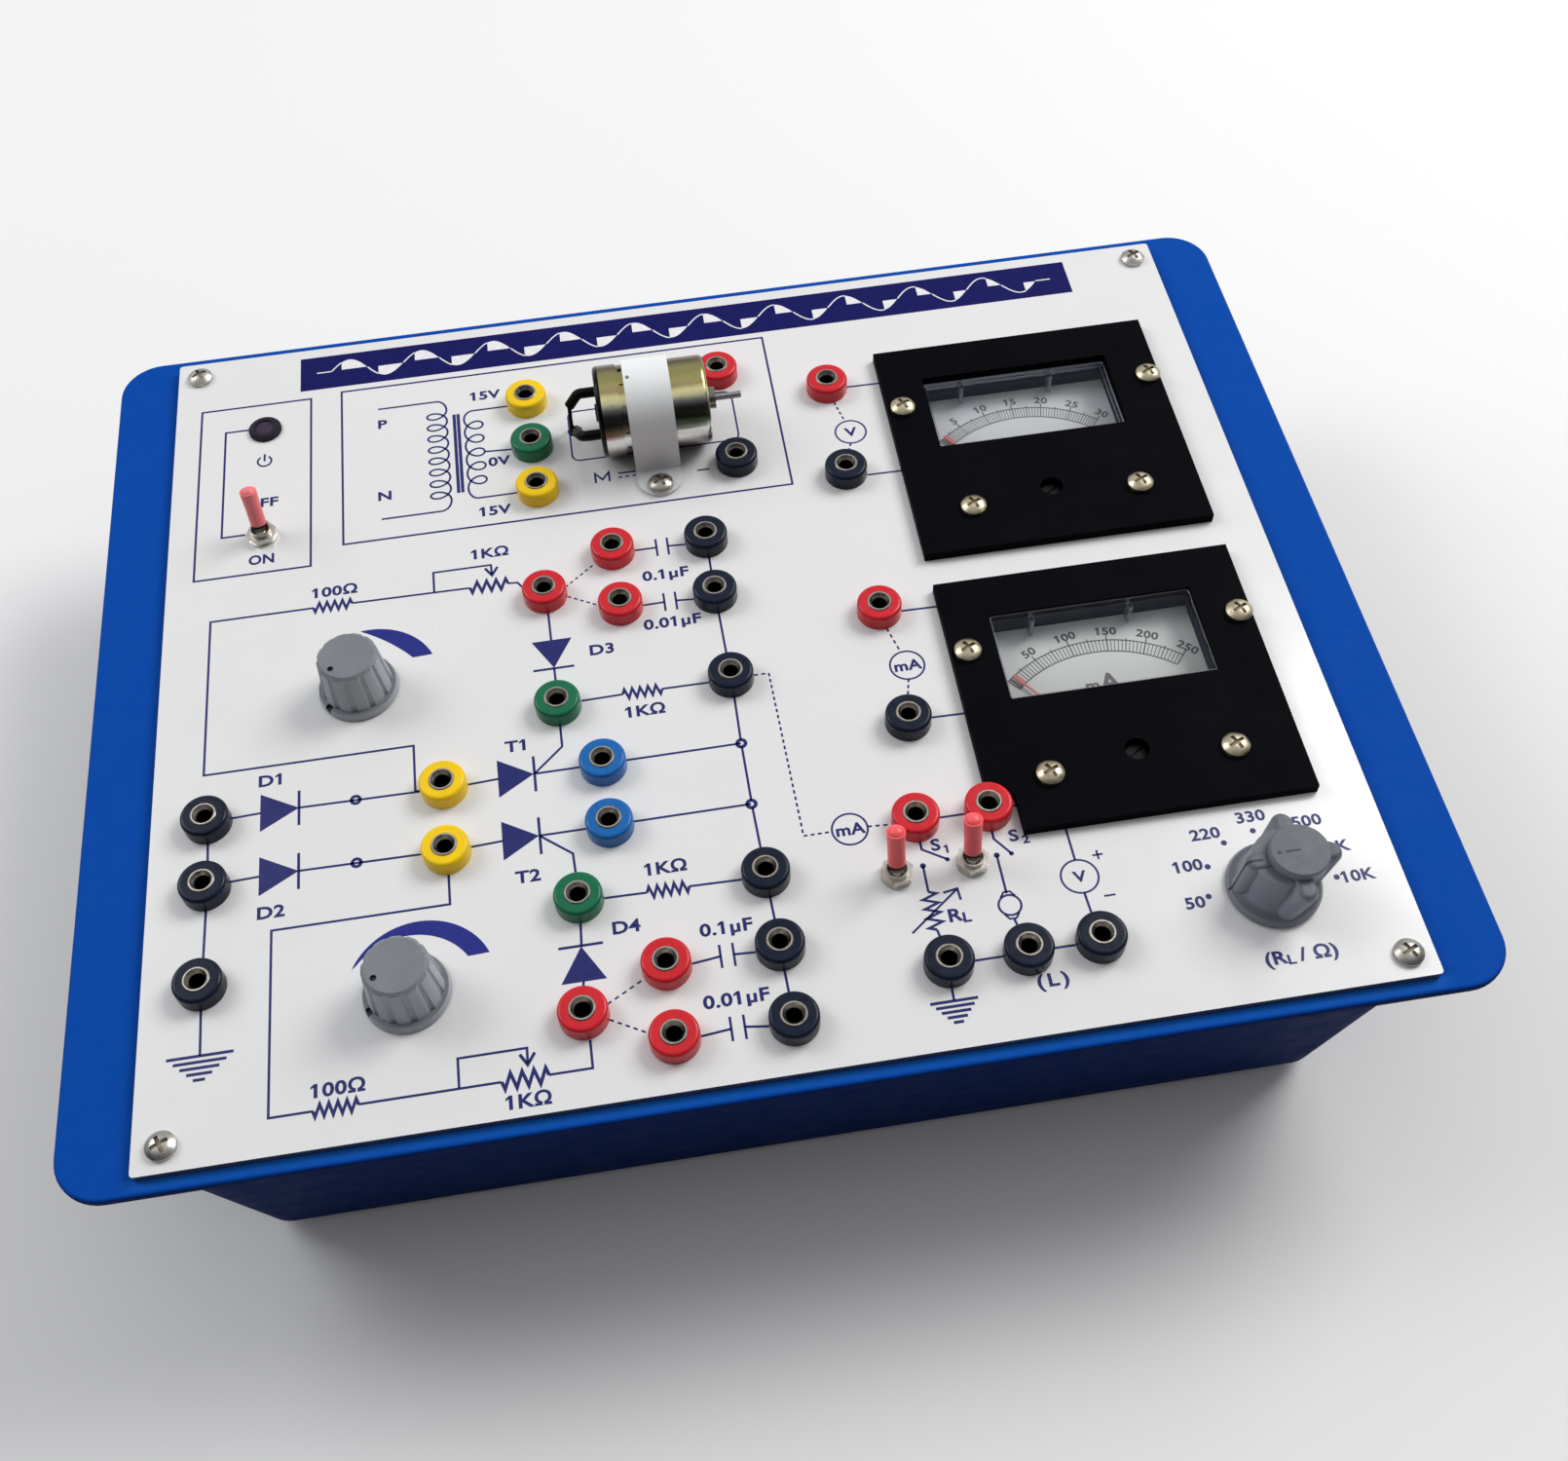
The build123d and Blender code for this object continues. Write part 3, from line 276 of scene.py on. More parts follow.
def white_panel():
    base = (0.755, 0.755, 0.755)
    s = Shader("white_panel", base, 0.22, coat=0.25, coat_rough=0.12)
    s.tint(s.span(s.noise(9, 4, 0.6), 0.35, 0.7, 0, 0.6), (0.725, 0.728, 0.735))
    s.tint(s.span(s.noise(55, 5, 0.65), 0.5, 0.8, 0, 0.35), (0.70, 0.695, 0.68))
    s.tint(s.span(s.noise(5200, 2), 0.70, 0.80, 0, 0.25), (0.62, 0.60, 0.57))
    # sawn edge of the sheet: darker than its face
    s.tint(s.span(s.normal_axis("Z"), 0.35, 0.75, 1.0, 0.0), (0.055, 0.050, 0.048))
    s.roughness(s.noise(70, 5), 0.3, 0.75, 0.17, 0.30)
    s.bump(s.noise(60, 3), 0.00006, 0.10)
    s.bump(s.noise(1400, 2), 0.00002, 0.12)
    return s.done()


def ink(name, base, rise=1.35, spec=0.3):
    s = Shader(name, base, 0.34, spec=spec)
    s.tint(s.span(s.noise(700, 4), 0.4, 0.75, 0, 0.4), tuple(min(1, c * rise + 0.002) for c in base))
    s.tint(s.span(s.noise(4200, 2), 0.64, 0.76, 0, 0.25), tuple(min(1, c * 1.8 + 0.008) for c in base))
    s.roughness(s.noise(500, 3), 0.3, 0.7, 0.28, 0.44)
    return s.done()


def black_plate():
    base = (0.0022, 0.0023, 0.0038)
    s = Shader("black_plate", base, 0.6, spec=0.02)
    s.tint(s.span(s.noise(45, 5, 0.6), 0.4, 0.75, 0, 0.6), (0.0036, 0.0034, 0.0052))
    s.tint(s.span(s.noise(5200, 2), 0.72, 0.80, 0, 0.5), (0.022, 0.022, 0.026))
    s.roughness(s.noise(110, 5), 0.3, 0.75, 0.50, 0.68)
    s.bump(s.noise(2600, 3), 0.00003, 0.35)
    return s.done()


MOTOR_Y, MOTOR_Z = 204.1, 13.1


def gold_can(name, node):
    base = (0.52, 0.40, 0.15)
    s = Shader(name, base, 0.24, metal=0.93)
    axis = s.local(node, at(140.0, MOTOR_Y, MOTOR_Z))
    front = s.maths("SUBTRACT", axis.y, s.axis("Y"))
    up = s.maths("SUBTRACT", s.axis("Z"), axis.z)
    turn = s.maths("ARCTAN2", up, front)
    # yellow chromate over drawn steel tints the can, and bands of painted reflection and painted shade run round it by
    # the angle about its axis
    wander = s.maths("MULTIPLY", s.maths("SUBTRACT", s.noise(55, 3, 0.5), 0.5), 0.22)
    lap = s.span(s.maths("ADD", turn, wander), -math.pi / 2, math.pi, 0.0, 1.0)

    def stop(deg):
        return (deg + 90.0) / 270.0
    s.colour = s.ramp(lap, [(0.0, (0.16, 0.13, 0.10)), (stop(-30), (0.20, 0.17, 0.14)), (stop(-18), (0.46, 0.42, 0.40)),
                            (stop(-6), (0.85, 0.86, 0.84)), (stop(5), (0.80, 0.82, 0.80)), (stop(14), (0.14, 0.20, 0.12)),
                            (stop(22), (0.045, 0.055, 0.030)), (stop(30), (0.09, 0.085, 0.055)), (stop(38), (0.12, 0.12, 0.13)),
                            (stop(45), (0.42, 0.44, 0.40)), (stop(52), (0.90, 0.84, 0.52)), (stop(60), (0.98, 0.93, 0.46)),
                            (stop(67), (0.45, 0.37, 0.17)), (stop(76), (0.44, 0.42, 0.165)), (stop(85), (0.37, 0.345, 0.125)),
                            (stop(97), (0.35, 0.33, 0.15)), (stop(110), (0.14, 0.115, 0.055)), (stop(140), (0.13, 0.09, 0.04)),
                            (1.0, (0.30, 0.22, 0.08))])
    s.tint(s.span(s.noise(150, 4, 0.6, vec=s.mapped((0.35, 1.6, 1.6)), distort=0.6), 0.52, 0.72, 0, 0.28), (0.52, 0.34, 0.20))
    s.tint(s.span(s.noise(900, 5), 0.58, 0.74, 0, 0.4), (0.16, 0.12, 0.05))
    # black back plate, and the plain steel nose round the shaft
    edge = s.local(node, at(127.25, MOTOR_Y, MOTOR_Z)).x
    nose = s.local(node, at(157.7, MOTOR_Y, MOTOR_Z)).x
    s.tint(s.span(s.axis("X"), edge - 0.00006, edge + 0.00006, 1.0, 0.0), (0.012, 0.012, 0.013))
    s.tint(s.span(s.axis("X"), nose - 0.00005, nose + 0.00005, 0.0, 1.0), (0.26, 0.245, 0.19))
    s.roughness(s.noise(380, 5, vec=s.mapped((0.3, 2, 2))), 0.3, 0.75, 0.16, 0.34)
    s.bump(s.noise(900, 3, vec=s.mapped((0.2, 3, 3))), 0.00002, 0.3)
    return s.done()


def strap_metal():
    base = (0.80, 0.82, 0.82)
    s = Shader("strap_metal", base, 0.55, metal=0.06, spec=0.35)
    s.tint(s.span(s.noise(60, 5, 0.6), 0.4, 0.75, 0, 0.5), (0.73, 0.75, 0.76))
    s.tint(s.span(s.noise(1100, 4, vec=s.mapped((6, 1, 1))), 0.55, 0.78, 0, 0.35), (0.60, 0.60, 0.60))
    # painted shade: the strap is darkened towards its foot on the panel
    foot = s.local("motor_strap", at(140.8, MOTOR_Y, 3.0)).z
    s.tint(s.span(s.axis("Z"), foot, foot + 0.014, 0.30, 0.0), (0.45, 0.47, 0.50))
    s.roughness(s.noise(240, 5), 0.3, 0.75, 0.46, 0.64)
    s.bump(s.noise(1500, 3, vec=s.mapped((8, 1, 1))), 0.00002, 0.35)
    return s.done()


def sleeve_metal():
    s = Shader("socket_sleeve_nickel", (0.50, 0.47, 0.42), 0.26, metal=1.0)
    s.tint(s.span(s.noise(260, 4), 0.42, 0.72, 0, 0.7), (0.36, 0.34, 0.30))
    s.tint(s.span(s.noise(700, 5), 0.6, 0.72, 0, 0.55), (0.12, 0.10, 0.08))
    # painted shade: dark down the bore, below the mouth
    mouth = s.local("socket_sleeves", at(0, 0, 3.9)).z
    s.tint(s.span(s.axis("Z"), mouth - 0.00075, mouth - 0.00010, 1.0, 0.0), (0.010, 0.009, 0.011))
    s.roughness(s.noise(480, 5), 0.3, 0.75, 0.20, 0.46)
    s.bump(s.noise(1500, 3), 0.00002, 0.45)
    return s.done()


def knob_grey(name, base, node):
    """Moulded knob plastic; the pots add a dark pointer dot and skirt notch, the selector its lines."""
    s = Shader(name, base, 0.46, spec=0.4)
    s.tint(s.span(s.noise(90, 4), 0.35, 0.7, 0, 1), tuple(c * 0.86 for c in base))
    s.tint(s.span(s.noise(1950, 2), 0.45, 0.75, 0, 0.4), tuple(min(1, c * 1.25 + 0.004) for c in base))
    # painted light: the flanks of the fluting are painted paler than the flat tops, to lift the sides that face the
    # front
    s.tint(s.span(s.maths("ABSOLUTE", s.normal_axis("Z")), 0.45, 0.8, 0.9, 0.0), tuple(c * 2.15 for c in base))
    dark = (0.018, 0.020, 0.026)
    if node == "rotary_switch_knob":
        def low_high(a, b):
            p, q = s.local(node, at(*a)), s.local(node, at(*b))
            return [min(x, y) for x, y in zip(p, q)], [max(x, y) for x, y in zip(p, q)]
        lo, hi = low_high((260.8, 28.5, 1.9), (267.3, 29.25, 15.5))
        s.tint(s.within(lo, hi), dark)
        lo, hi = low_high((272.3, 28.65, 16.3), (276.1, 29.2, 17.4))
        s.tint(s.within(lo, hi), dark)
        s.tint(s.near(s.local(node, at(270.8, 28.9, 16.9)), 0.00040, 0.00052), dark)
    else:
        x, y, deg = {"upper_pot_knob": (53.3, 127.0, 220.5), "lower_pot_knob": (63.4, 35.3, 207.0)}[node]
        ca, sa = math.cos(math.radians(deg)), math.sin(math.radians(deg))
        s.tint(s.near(s.local(node, at(x + 5.5 * ca, y + 5.5 * sa, 14.7)), 0.00080, 0.00092), dark)
        s.tint(s.near(s.local(node, at(x + 9.75 * ca, y + 9.75 * sa, 1.9)), 0.00105, 0.00130), dark)
    s.roughness(s.noise(300, 4), 0.3, 0.75, 0.40, 0.56)
    s.bump(s.noise(1500, 3), 0.00005, 0.5)
    return s.done()


def steel(name, base=(0.42, 0.42, 0.43), rough=0.3, stretch=(1, 1, 1)):
    s = Shader(name, base, rough, metal=1.0)
    s.tint(s.span(s.noise(420, 5, vec=s.mapped(stretch)), 0.45, 0.75, 0, 0.7), tuple(c * 0.6 for c in base))
    s.roughness(s.noise(600, 4, vec=s.mapped(stretch)), 0.3, 0.75, rough * 0.7, rough * 1.5)
    s.bump(s.noise(2600, 3, vec=s.mapped(stretch)), 0.00002, 0.4)
    return s.done()


def clear_sheet():
    s = Shader("clear_window", (0.93, 0.94, 0.94), 0.03, ior=1.46)
    s.p.inputs["Transmission Weight"].default_value = 1.0
    s.link(s.span(s.noise(210, 5), 0.35, 0.75, 0.015, 0.06), s.p.inputs["Roughness"])
    s.bump(s.noise(90, 3), 0.00001, 0.04)
    return s.done()


def clear_front(name, node, step, sunk, lip, painted_highlight):
    """Moulded clear front of a meter: plain top, side walls tinted dark low down with a painted highlight along their
    top, two milky ribs.
    """
    s = Shader(name, (0.020, 0.026, 0.044), 0.05, ior=2.3)

    def z(height):
        return s.local(node, at(250.0, 106.0 + step, height - sunk)).z
    flat = s.span(s.maths("ABSOLUTE", s.normal_axis("Z")), 0.55, 0.97, 0.0, 1.0)
    wall = s.maths("SUBTRACT", 1.0, flat)
    # side walls: tinted dark low down, grading up to a painted highlight along their top edge
    s.tint(wall, s.ramp(s.span(s.axis("Z"), z(-1.7), z(2.8), 0.0, 1.0),
                        [(0.0, (0.006, 0.010, 0.030)), (0.45, (0.012, 0.020, 0.055)), (0.60, (0.05, 0.06, 0.10)), (0.75, painted_highlight), (1.0, painted_highlight)]))
    ribs = None
    for x in (233.5, 260.6):
        a = s.local(node, at(x - 0.1, 116.7 + step, -5.2 - sunk))
        b = s.local(node, at(x + 1.1, 119.9 + step, 2.0 - sunk))
        box = s.within([min(u, v) for u, v in zip(a, b)], [max(u, v) for u, v in zip(a, b)])
        ribs = box if ribs is None else s.maths("MAXIMUM", ribs, box)
    s.tint(ribs, (0.16, 0.18, 0.24))
    rim = s.maths("MULTIPLY", wall, s.span(s.axis("Z"), z(lip), z(lip + 0.3), 0.0, 1.0))
    cover = s.maths("ADD", 0.055, s.maths("MULTIPLY", rim, 0.70))
    cover = s.maths("MAXIMUM", cover, s.maths("MULTIPLY", ribs, 0.60))
    s.link(cover, s.p.inputs["Alpha"])
    s.roughness(s.noise(210, 5), 0.35, 0.75, 0.04, 0.10)
    s.bump(s.noise(90, 3), 0.00001, 0.04)
    return s.done()


def dial_white(node, step, base):
    s = Shader(f"{node}_card", base, 0.5, spec=0.3)
    s.tint(s.span(s.noise(60, 4), 0.35, 0.7, 0, 0.6), tuple(c * 0.93 for c in base))
    s.tint(s.span(s.noise(4000, 2), 0.6, 0.78, 0, 0.3), tuple(c * 0.80 for c in base))
    near_edge = s.local(node, at(250.0, 97.0 + step, -6.0)).y
    # painted light: the card is painted paler towards the far wall of the case, to lift the shade that falls there
    s.tint(s.span(s.axis("Y"), near_edge, near_edge + 0.022, 0.0, 1.0), tuple(min(0.92, c * k) for c, k in zip(base, (1.42, 1.46, 1.50))))
    s.bump(s.noise(3000, 2), 0.00002, 0.3)
    s.roughness(s.noise(300, 3), 0.3, 0.7, 0.42, 0.6)
    return s.done()


def board_green():
    base = (0.015, 0.13, 0.045)
    s = Shader("board_green", base, 0.3, coat=0.3, coat_rough=0.15)
    s.tint(s.span(s.voronoi(320, feature="F1"), 0.25, 0.5, 0, 0.4), (0.03, 0.20, 0.07))
    s.tint(s.span(s.noise(1200, 4), 0.5, 0.75, 0, 0.4), (0.01, 0.09, 0.03))
    s.roughness(s.noise(300, 4), 0.3, 0.75, 0.22, 0.42)
    s.bump(s.noise(1500, 3), 0.00004, 0.4)
    return s.done()


def tape():
    base = (0.60, 0.42, 0.06)
    s = Shader("winding_tape", base, 0.35, coat=0.2)
    s.tint(s.span(s.noise(900, 3, vec=s.mapped((1, 1, 6))), 0.45, 0.75, 0, 0.6), (0.45, 0.28, 0.04))
    s.roughness(s.noise(300, 4), 0.3, 0.75, 0.25, 0.5)
    s.bump(s.noise(900, 3, vec=s.mapped((1, 1, 5))), 0.00006, 0.5)
    return s.done()


def lamp_glass():
    base = (0.034, 0.022, 0.044)
    s = Shader("lamp_red", base, 0.55, spec=0.22)
    s.tint(s.span(s.noise(500, 3), 0.4, 0.75, 0, 0.6), (0.058, 0.034, 0.064))
    s.roughness(s.noise(500, 3), 0.3, 0.75, 0.45, 0.65)
    s.bump(s.voronoi(900), 0.00010, 0.35)
    return s.done()


M = {
    "blue": blue_cabinet(),
    "panel": white_panel(),
    "nickel": plated("nickel_plate", (0.60, 0.57, 0.52), 0.26),
    "ring": sleeve_metal(),
    "brassy": plated("brassy_screw", (0.60, 0.53, 0.38), 0.30, dirt=(0.10, 0.07, 0.04)),
    "tarnished": plated("tarnished_nickel", (0.42, 0.40, 0.36), 0.30),
    "rubber": matte_plastic("black_rubber", (0.012, 0.012, 0.012), 0.78, grain=1200, depth=0.00008),
    "red": gloss_plastic("socket_red", (0.62, 0.010, 0.020), 0.28, coat=0.06, spec=0.32),
    "black": gloss_plastic("socket_black", (0.0028, 0.0080, 0.026), 0.30, coat=0.03, vary=0.3, spec=0.22),
    "green": gloss_plastic("socket_green", (0.001, 0.140, 0.060), 0.28, coat=0.06, spec=0.28),
    "yellow": gloss_plastic("socket_yellow", (0.92, 0.60, 0.000), 0.30, coat=0.03, spec=0.28),
    "sky": gloss_plastic("socket_blue", (0.002, 0.125, 0.42), 0.28, coat=0.06, spec=0.28),
    "plate": black_plate(),
    "inner": matte_plastic("black_moulding", (0.014, 0.014, 0.016), 0.5),
    "clear": clear_sheet(),
    # the last colour of each clear front is its painted highlight; the voltmeter's is dimmer, as it stands sunk in the
    # shade of its plate
    "front_a": clear_front("milliammeter_clear", "milliammeter_window", 0.0, 0.0, 2.1, (0.80, 0.84, 0.94)),
    "front_v": clear_front("voltmeter_clear", "voltmeter_window", 90.7, 1.8, 0.5, (0.60, 0.64, 0.76)),
    "dial_a": dial_white("milliammeter_dial", 0.0, (0.53, 0.545, 0.525)),
    "dial_v": dial_white("voltmeter_dial", 90.7, (0.52, 0.53, 0.54)),
    "needle": matte_plastic("needle_red", (0.72, 0.20, 0.20), 0.4, grain=3000),
    "corner": plated("corner_screw", (0.53, 0.51, 0.47), 0.30),
    "recess": matte_plastic("recess_shade", (0.34, 0.29, 0.21), 0.5, grain=2600, spec=0.2),
    "case": matte_plastic("meter_case", (0.0026, 0.0075, 0.0280), 0.5, spec=0.12),
    "adjuster": matte_plastic("adjuster_black", (0.0035, 0.0035, 0.0045), 0.5, spec=0.15),
    "salmon": matte_plastic("toggle_red", (0.93, 0.19, 0.20), 0.42, grain=1600, vary=0.06),
    "salmon_deep": matte_plastic("toggle_deep_red", (0.95, 0.105, 0.115), 0.42, grain=1600, vary=0.06),
    "grey_upper": knob_grey("grey_knob_upper", (0.185, 0.198, 0.218), "upper_pot_knob"),
    "grey_lower": knob_grey("grey_knob_lower", (0.185, 0.198, 0.218), "lower_pot_knob"),
    "grey_selector": knob_grey("grey_knob_selector", (0.110, 0.117, 0.140), "rotary_switch_knob"),
    "gold": gold_can("gold_can", "motor_can"),
    "gold_cap": gold_can("gold_end_cap", "motor_end_cap"),
    "bezel": matte_plastic("lamp_bezel", (0.020, 0.016, 0.028), 0.7, grain=1800, spec=0.16),
    "strap": strap_metal(),
    "steel": steel("bright_steel"),
    "shaft": steel("shaft_steel", (0.40, 0.40, 0.41), 0.28, (8, 1, 1)),
    "lamp": lamp_glass(),
    "core": matte_plastic("core_varnish", (0.035, 0.035, 0.04), 0.4, grain=1500),
    "tape": tape(),
    "board": board_green(),
    "brass": plated("brass_part", (0.62, 0.45, 0.16), 0.25),
    "lead": matte_plastic("black_sleeve", (0.0024, 0.0020, 0.0020), 0.45, grain=1800, spec=0.12),
    "print": ink("print_navy", (0.011, 0.015, 0.125)),
    "sweep": ink("print_blue", (0.009, 0.015, 0.200)),
    "banner": ink("print_indigo", (0.0040, 0.0045, 0.092), spec=0.10),
    "scale": ink("scale_grey", (0.115, 0.115, 0.122)),
    "scale_v": ink("scale_pale_grey", (0.170, 0.172, 0.182)),
    "white_ink": ink("print_white", (0.74, 0.74, 0.76)),
}

FINISH = {
    "cabinet_shell": "blue", "front_panel": "panel", "panel_screws": "corner", "rubber_feet": "rubber", "chassis_screws": "nickel",
    "socket_collars_red": "red", "socket_collars_black": "black", "socket_collars_green": "green",
    "socket_collars_yellow": "yellow", "socket_collars_blue": "sky", "socket_sleeves": "ring", "socket_nuts": "nickel",
    "voltmeter_cover_plate": "plate", "milliammeter_cover_plate": "plate", "meter_plate_screws": "brassy",
    "voltmeter_case": "case", "milliammeter_case": "case", "voltmeter_window": "front_v", "milliammeter_window": "front_a",
    "voltmeter_dial": "dial_v", "milliammeter_dial": "dial_a", "voltmeter_needle": "needle", "milliammeter_needle": "needle",
    "meter_movements": "steel", "voltmeter_zero_adjuster": "adjuster", "milliammeter_zero_adjuster": "adjuster",
    "toggle_switch_bodies": "inner", "toggle_bushings": "nickel", "control_nuts": "nickel",
    "main_toggle_lever": "nickel", "main_toggle_cap": "salmon", "load_toggle_lever_1": "nickel", "load_toggle_cap_1": "salmon_deep",
    "load_toggle_lever_2": "nickel", "load_toggle_cap_2": "salmon_deep", "potentiometer_bodies": "steel",
    "upper_pot_shaft": "steel", "upper_pot_knob": "grey_upper", "lower_pot_shaft": "steel", "lower_pot_knob": "grey_lower",
    "rotary_switch_body": "inner", "rotary_switch_shaft": "steel", "rotary_switch_knob": "grey_selector",
    "motor_can": "gold", "motor_end_cap": "gold_cap", "motor_armature": "shaft", "motor_strap": "strap",
    "motor_strap_screws": "tarnished", "motor_leads": "lead", "lamp_holder": "bezel", "lamp_lens": "lamp",
    "transformer_core": "core", "transformer_winding": "tape", "circuit_board": "board",
    "board_standoffs": "brass", "board_components": "inner", "mains_inlet": "inner", "inlet_pins": "nickel",
    "fuse_drawer": "inner", "fuse": "clear",
}
for node, finish in FINISH.items():
    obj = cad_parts[node]
    if not obj.material_slots:
        obj.data.materials.append(M[finish])
    for s in obj.material_slots:
        s.material = M[finish]


# ------------------------------------------------------------ printed graphics
def flag_ones(bm):
    """Gives every plain upright bar among the glyphs the short flag of a printed figure one."""
    bm.verts.index_update()
    seen, bars = set(), []
    for start in list(bm.verts):
        if start.index in seen:
            continue
        stack, island = [start], []
        seen.add(start.index)
        while stack:
            v = stack.pop()
            island.append(v)
            for e in v.link_edges:
                o = e.other_vert(v)
                if o.index not in seen:
                    seen.add(o.index)
                    stack.append(o)
        xs, ys, zs = [v.co.x for v in island], [v.co.y for v in island], [v.co.z for v in island]
        if max(xs) - min(xs) < 0.2 and max(ys) - min(ys) > 0.6:
            bars.append((min(xs), max(ys), min(zs), max(zs)))
    for x, y, low, high in bars:
        ring = [(x + 0.03, y), (x + 0.03, y - 0.15), (x - 0.13, y - 0.26), (x - 0.13, y - 0.13)]
        top = [bm.verts.new((u, v, high)) for u, v in ring]
        bottom = [bm.verts.new((u, v, low)) for u, v in ring]
        bm.faces.new(list(reversed(top)))
        bm.faces.new(bottom)
        for i in range(4):
            j = (i + 1) % 4
            bm.faces.new((bottom[j], bottom[i], top[i], top[j]))


class Print:
    """Flat printed shapes gathered into one thin closed mesh."""

    def __init__(self, low, high):
        self.low, self.high = low, high     # millimetres above the panel
        self.bm = bmesh.new()

    def prism(self, ring):
        """A closed prism over a ring of panel points."""
        pts = [Vector(p) for p in ring]
        area = sum(a.x * b.y - b.x * a.y for a, b in zip(pts, pts[1:] + pts[:1]))
        if area < 0:
            pts.reverse()
        top = [self.bm.verts.new(at(p.x, p.y, self.high)) for p in pts]
        bottom = [self.bm.verts.new(at(p.x, p.y, self.low)) for p in pts]
        self.bm.faces.new(top)
        self.bm.faces.new(list(reversed(bottom)))
        k = len(pts)
        for i in range(k):
            j = (i + 1) % k
            self.bm.faces.new((bottom[i], bottom[j], top[j], top[i]))

    def line(self, points, width=0.55, closed=False):
        pts = [Vector(p) for p in points]
        k = len(pts)
        left, right = [], []
        for i in range(k):
            a = pts[i - 1] if (i > 0 or closed) else None
            b = pts[(i + 1) % k] if (i < k - 1 or closed) else None
            d1 = (pts[i] - a).normalized() if a is not None else None
            d2 = (b - pts[i]).normalized() if b is not None else None
            if d1 is None:
                d1 = d2
            if d2 is None:
                d2 = d1
            n1, n2 = Vector((-d1.y, d1.x)), Vector((-d2.y, d2.x))
            m = n1 + n2
            m = m.normalized() if m.length > 1e-6 else n1
            reach = width / 2 / max(0.35, m.dot(n1))
            left.append(pts[i] + m * reach)
            right.append(pts[i] - m * reach)
        verts = []
        for l, r in zip(left, right):
            verts.append([self.bm.verts.new(at(l.x, l.y, self.high)), self.bm.verts.new(at(r.x, r.y, self.high)),
                          self.bm.verts.new(at(l.x, l.y, self.low)), self.bm.verts.new(at(r.x, r.y, self.low))])
        spans = range(k) if closed else range(k - 1)
        f = self.bm.faces.new
        for i in spans:
            a, b = verts[i], verts[(i + 1) % k]
            f((a[1], b[1], b[0], a[0]))
            f((a[2], b[2], b[3], a[3]))
            f((a[0], b[0], b[2], a[2]))
            f((a[3], b[3], b[1], a[1]))
        if not closed:
            a, b = verts[0], verts[-1]
            f((a[0], a[2], a[3], a[1]))
            f((b[1], b[3], b[2], b[0]))

    def dashes(self, points, width=0.5, dash=1.1, gap=0.9):
        pts = [Vector(p) for p in points]
        for a, b in zip(pts, pts[1:]):
            d = b - a
            n = max(1, round(d.length / (dash + gap)))
            for i in range(n):
                s = a + d * (i / n)
                self.line([s, s + d * (dash / (dash + gap) / n)], width)

    def disc(self, c, r, n=24):
        self.prism([(c[0] + r * math.cos(t * math.tau / n), c[1] + r * math.sin(t * math.tau / n)) for t in range(n)])

    def ring(self, c, r, width=0.5, n=40):
        self.line([(c[0] + r * math.cos(t * math.tau / n), c[1] + r * math.sin(t * math.tau / n)) for t in range(n)], width, closed=True)

    def arc(self, c, r, a, b, width=0.35, n=48):
        self.line([(c[0] + r * math.cos(math.radians(a + (b - a) * t / n)), c[1] + r * math.sin(math.radians(a + (b - a) * t / n))) for t in range(n + 1)], width)

    def zigzag(self, a, b, teeth=4, height=1.5, width=0.5):
        a, b = Vector(a), Vector(b)
        d = b - a
        n = Vector((-d.y, d.x)).normalized()
        pts = [a]
        for i in range(2 * teeth):
            pts.append(a + d * ((i + 0.5) / (2 * teeth)) + n * (height if i % 2 == 0 else -height))
        pts.append(b)
        self.line(pts, width)

    def text(self, words, centre, height=3.4, stretch=1.18, bold=0.028, angle=0.0, slant=0.0):
        """Built-in lettering, centred on a panel point. height is that of a capital."""
        cu = bpy.data.curves.new("lettering", "FONT")
        cu.body = words
        cu.size = 1.0
        cu.resolution_u = 3
        cu.align_x = "CENTER"
        cu.extrude = 0.01
        cu.offset = bold
        cu.space_character = 1.04
        ob = bpy.data.objects.new("lettering", cu)
        bpy.context.scene.collection.objects.link(ob)
        bpy.context.view_layer.update()
        me = bpy.data.meshes.new_from_object(ob.evaluated_get(bpy.context.evaluated_depsgraph_get()))
        bpy.data.objects.remove(ob)
        bpy.data.curves.remove(cu)
        cap = 0.7
        k = height / cap
        ca, sa = math.cos(math.radians(angle)), math.sin(math.radians(angle))
        bm = bmesh.new()
        bm.from_mesh(me)
        bpy.data.meshes.remove(me)
        bmesh.ops.remove_doubles(bm, verts=bm.verts, dist=1e-5)
        if "1" in words:
            flag_ones(bm)
        for v in bm.verts:
            x, y = v.co.x * k * stretch, (v.co.y - cap / 2) * k
            x += slant * y
            z = self.high if v.co.z > 0 else self.low
            v.co = at(centre[0] + x * ca - y * sa, centre[1] + x * sa + y * ca, z)
        index = {v: self.bm.verts.new(v.co) for v in bm.verts}
        for face in bm.faces:
            try:
                self.bm.faces.new([index[v] for v in face.verts])
            except ValueError:
                pass
        bm.free()

    def make(self, name, material, body="trainer"):
        me = bpy.data.meshes.new(name)
        bmesh.ops.recalc_face_normals(self.bm, faces=self.bm.faces)
        self.bm.to_mesh(me)
        self.bm.free()
        ob = bpy.data.objects.new(name, me)
        bpy.context.scene.collection.objects.link(ob)
        me.materials.append(material)
        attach(ob, body)
        return ob


INK_LOW, INK_HIGH = -0.03, 0.05
LINE = 0.6

p = Print(INK_LOW, INK_HIGH)
# frame round the mains lamp and switch
p.line([(7.6, 238.8), (40.2, 238.8), (40.2, 172.5), (7.6, 172.5)], LINE, closed=True)
p.line([(22.2, 229.0), (14.9, 229.0), (14.9, 187.4), (21.6, 187.4)], LINE)
# frame round the transformer and the motor
p.line([(49.4, 240.0), (178.2, 240.0), (178.2, 178.8), (49.4, 178.8)], LINE, closed=True)
p.make("print_frames", M["print"])

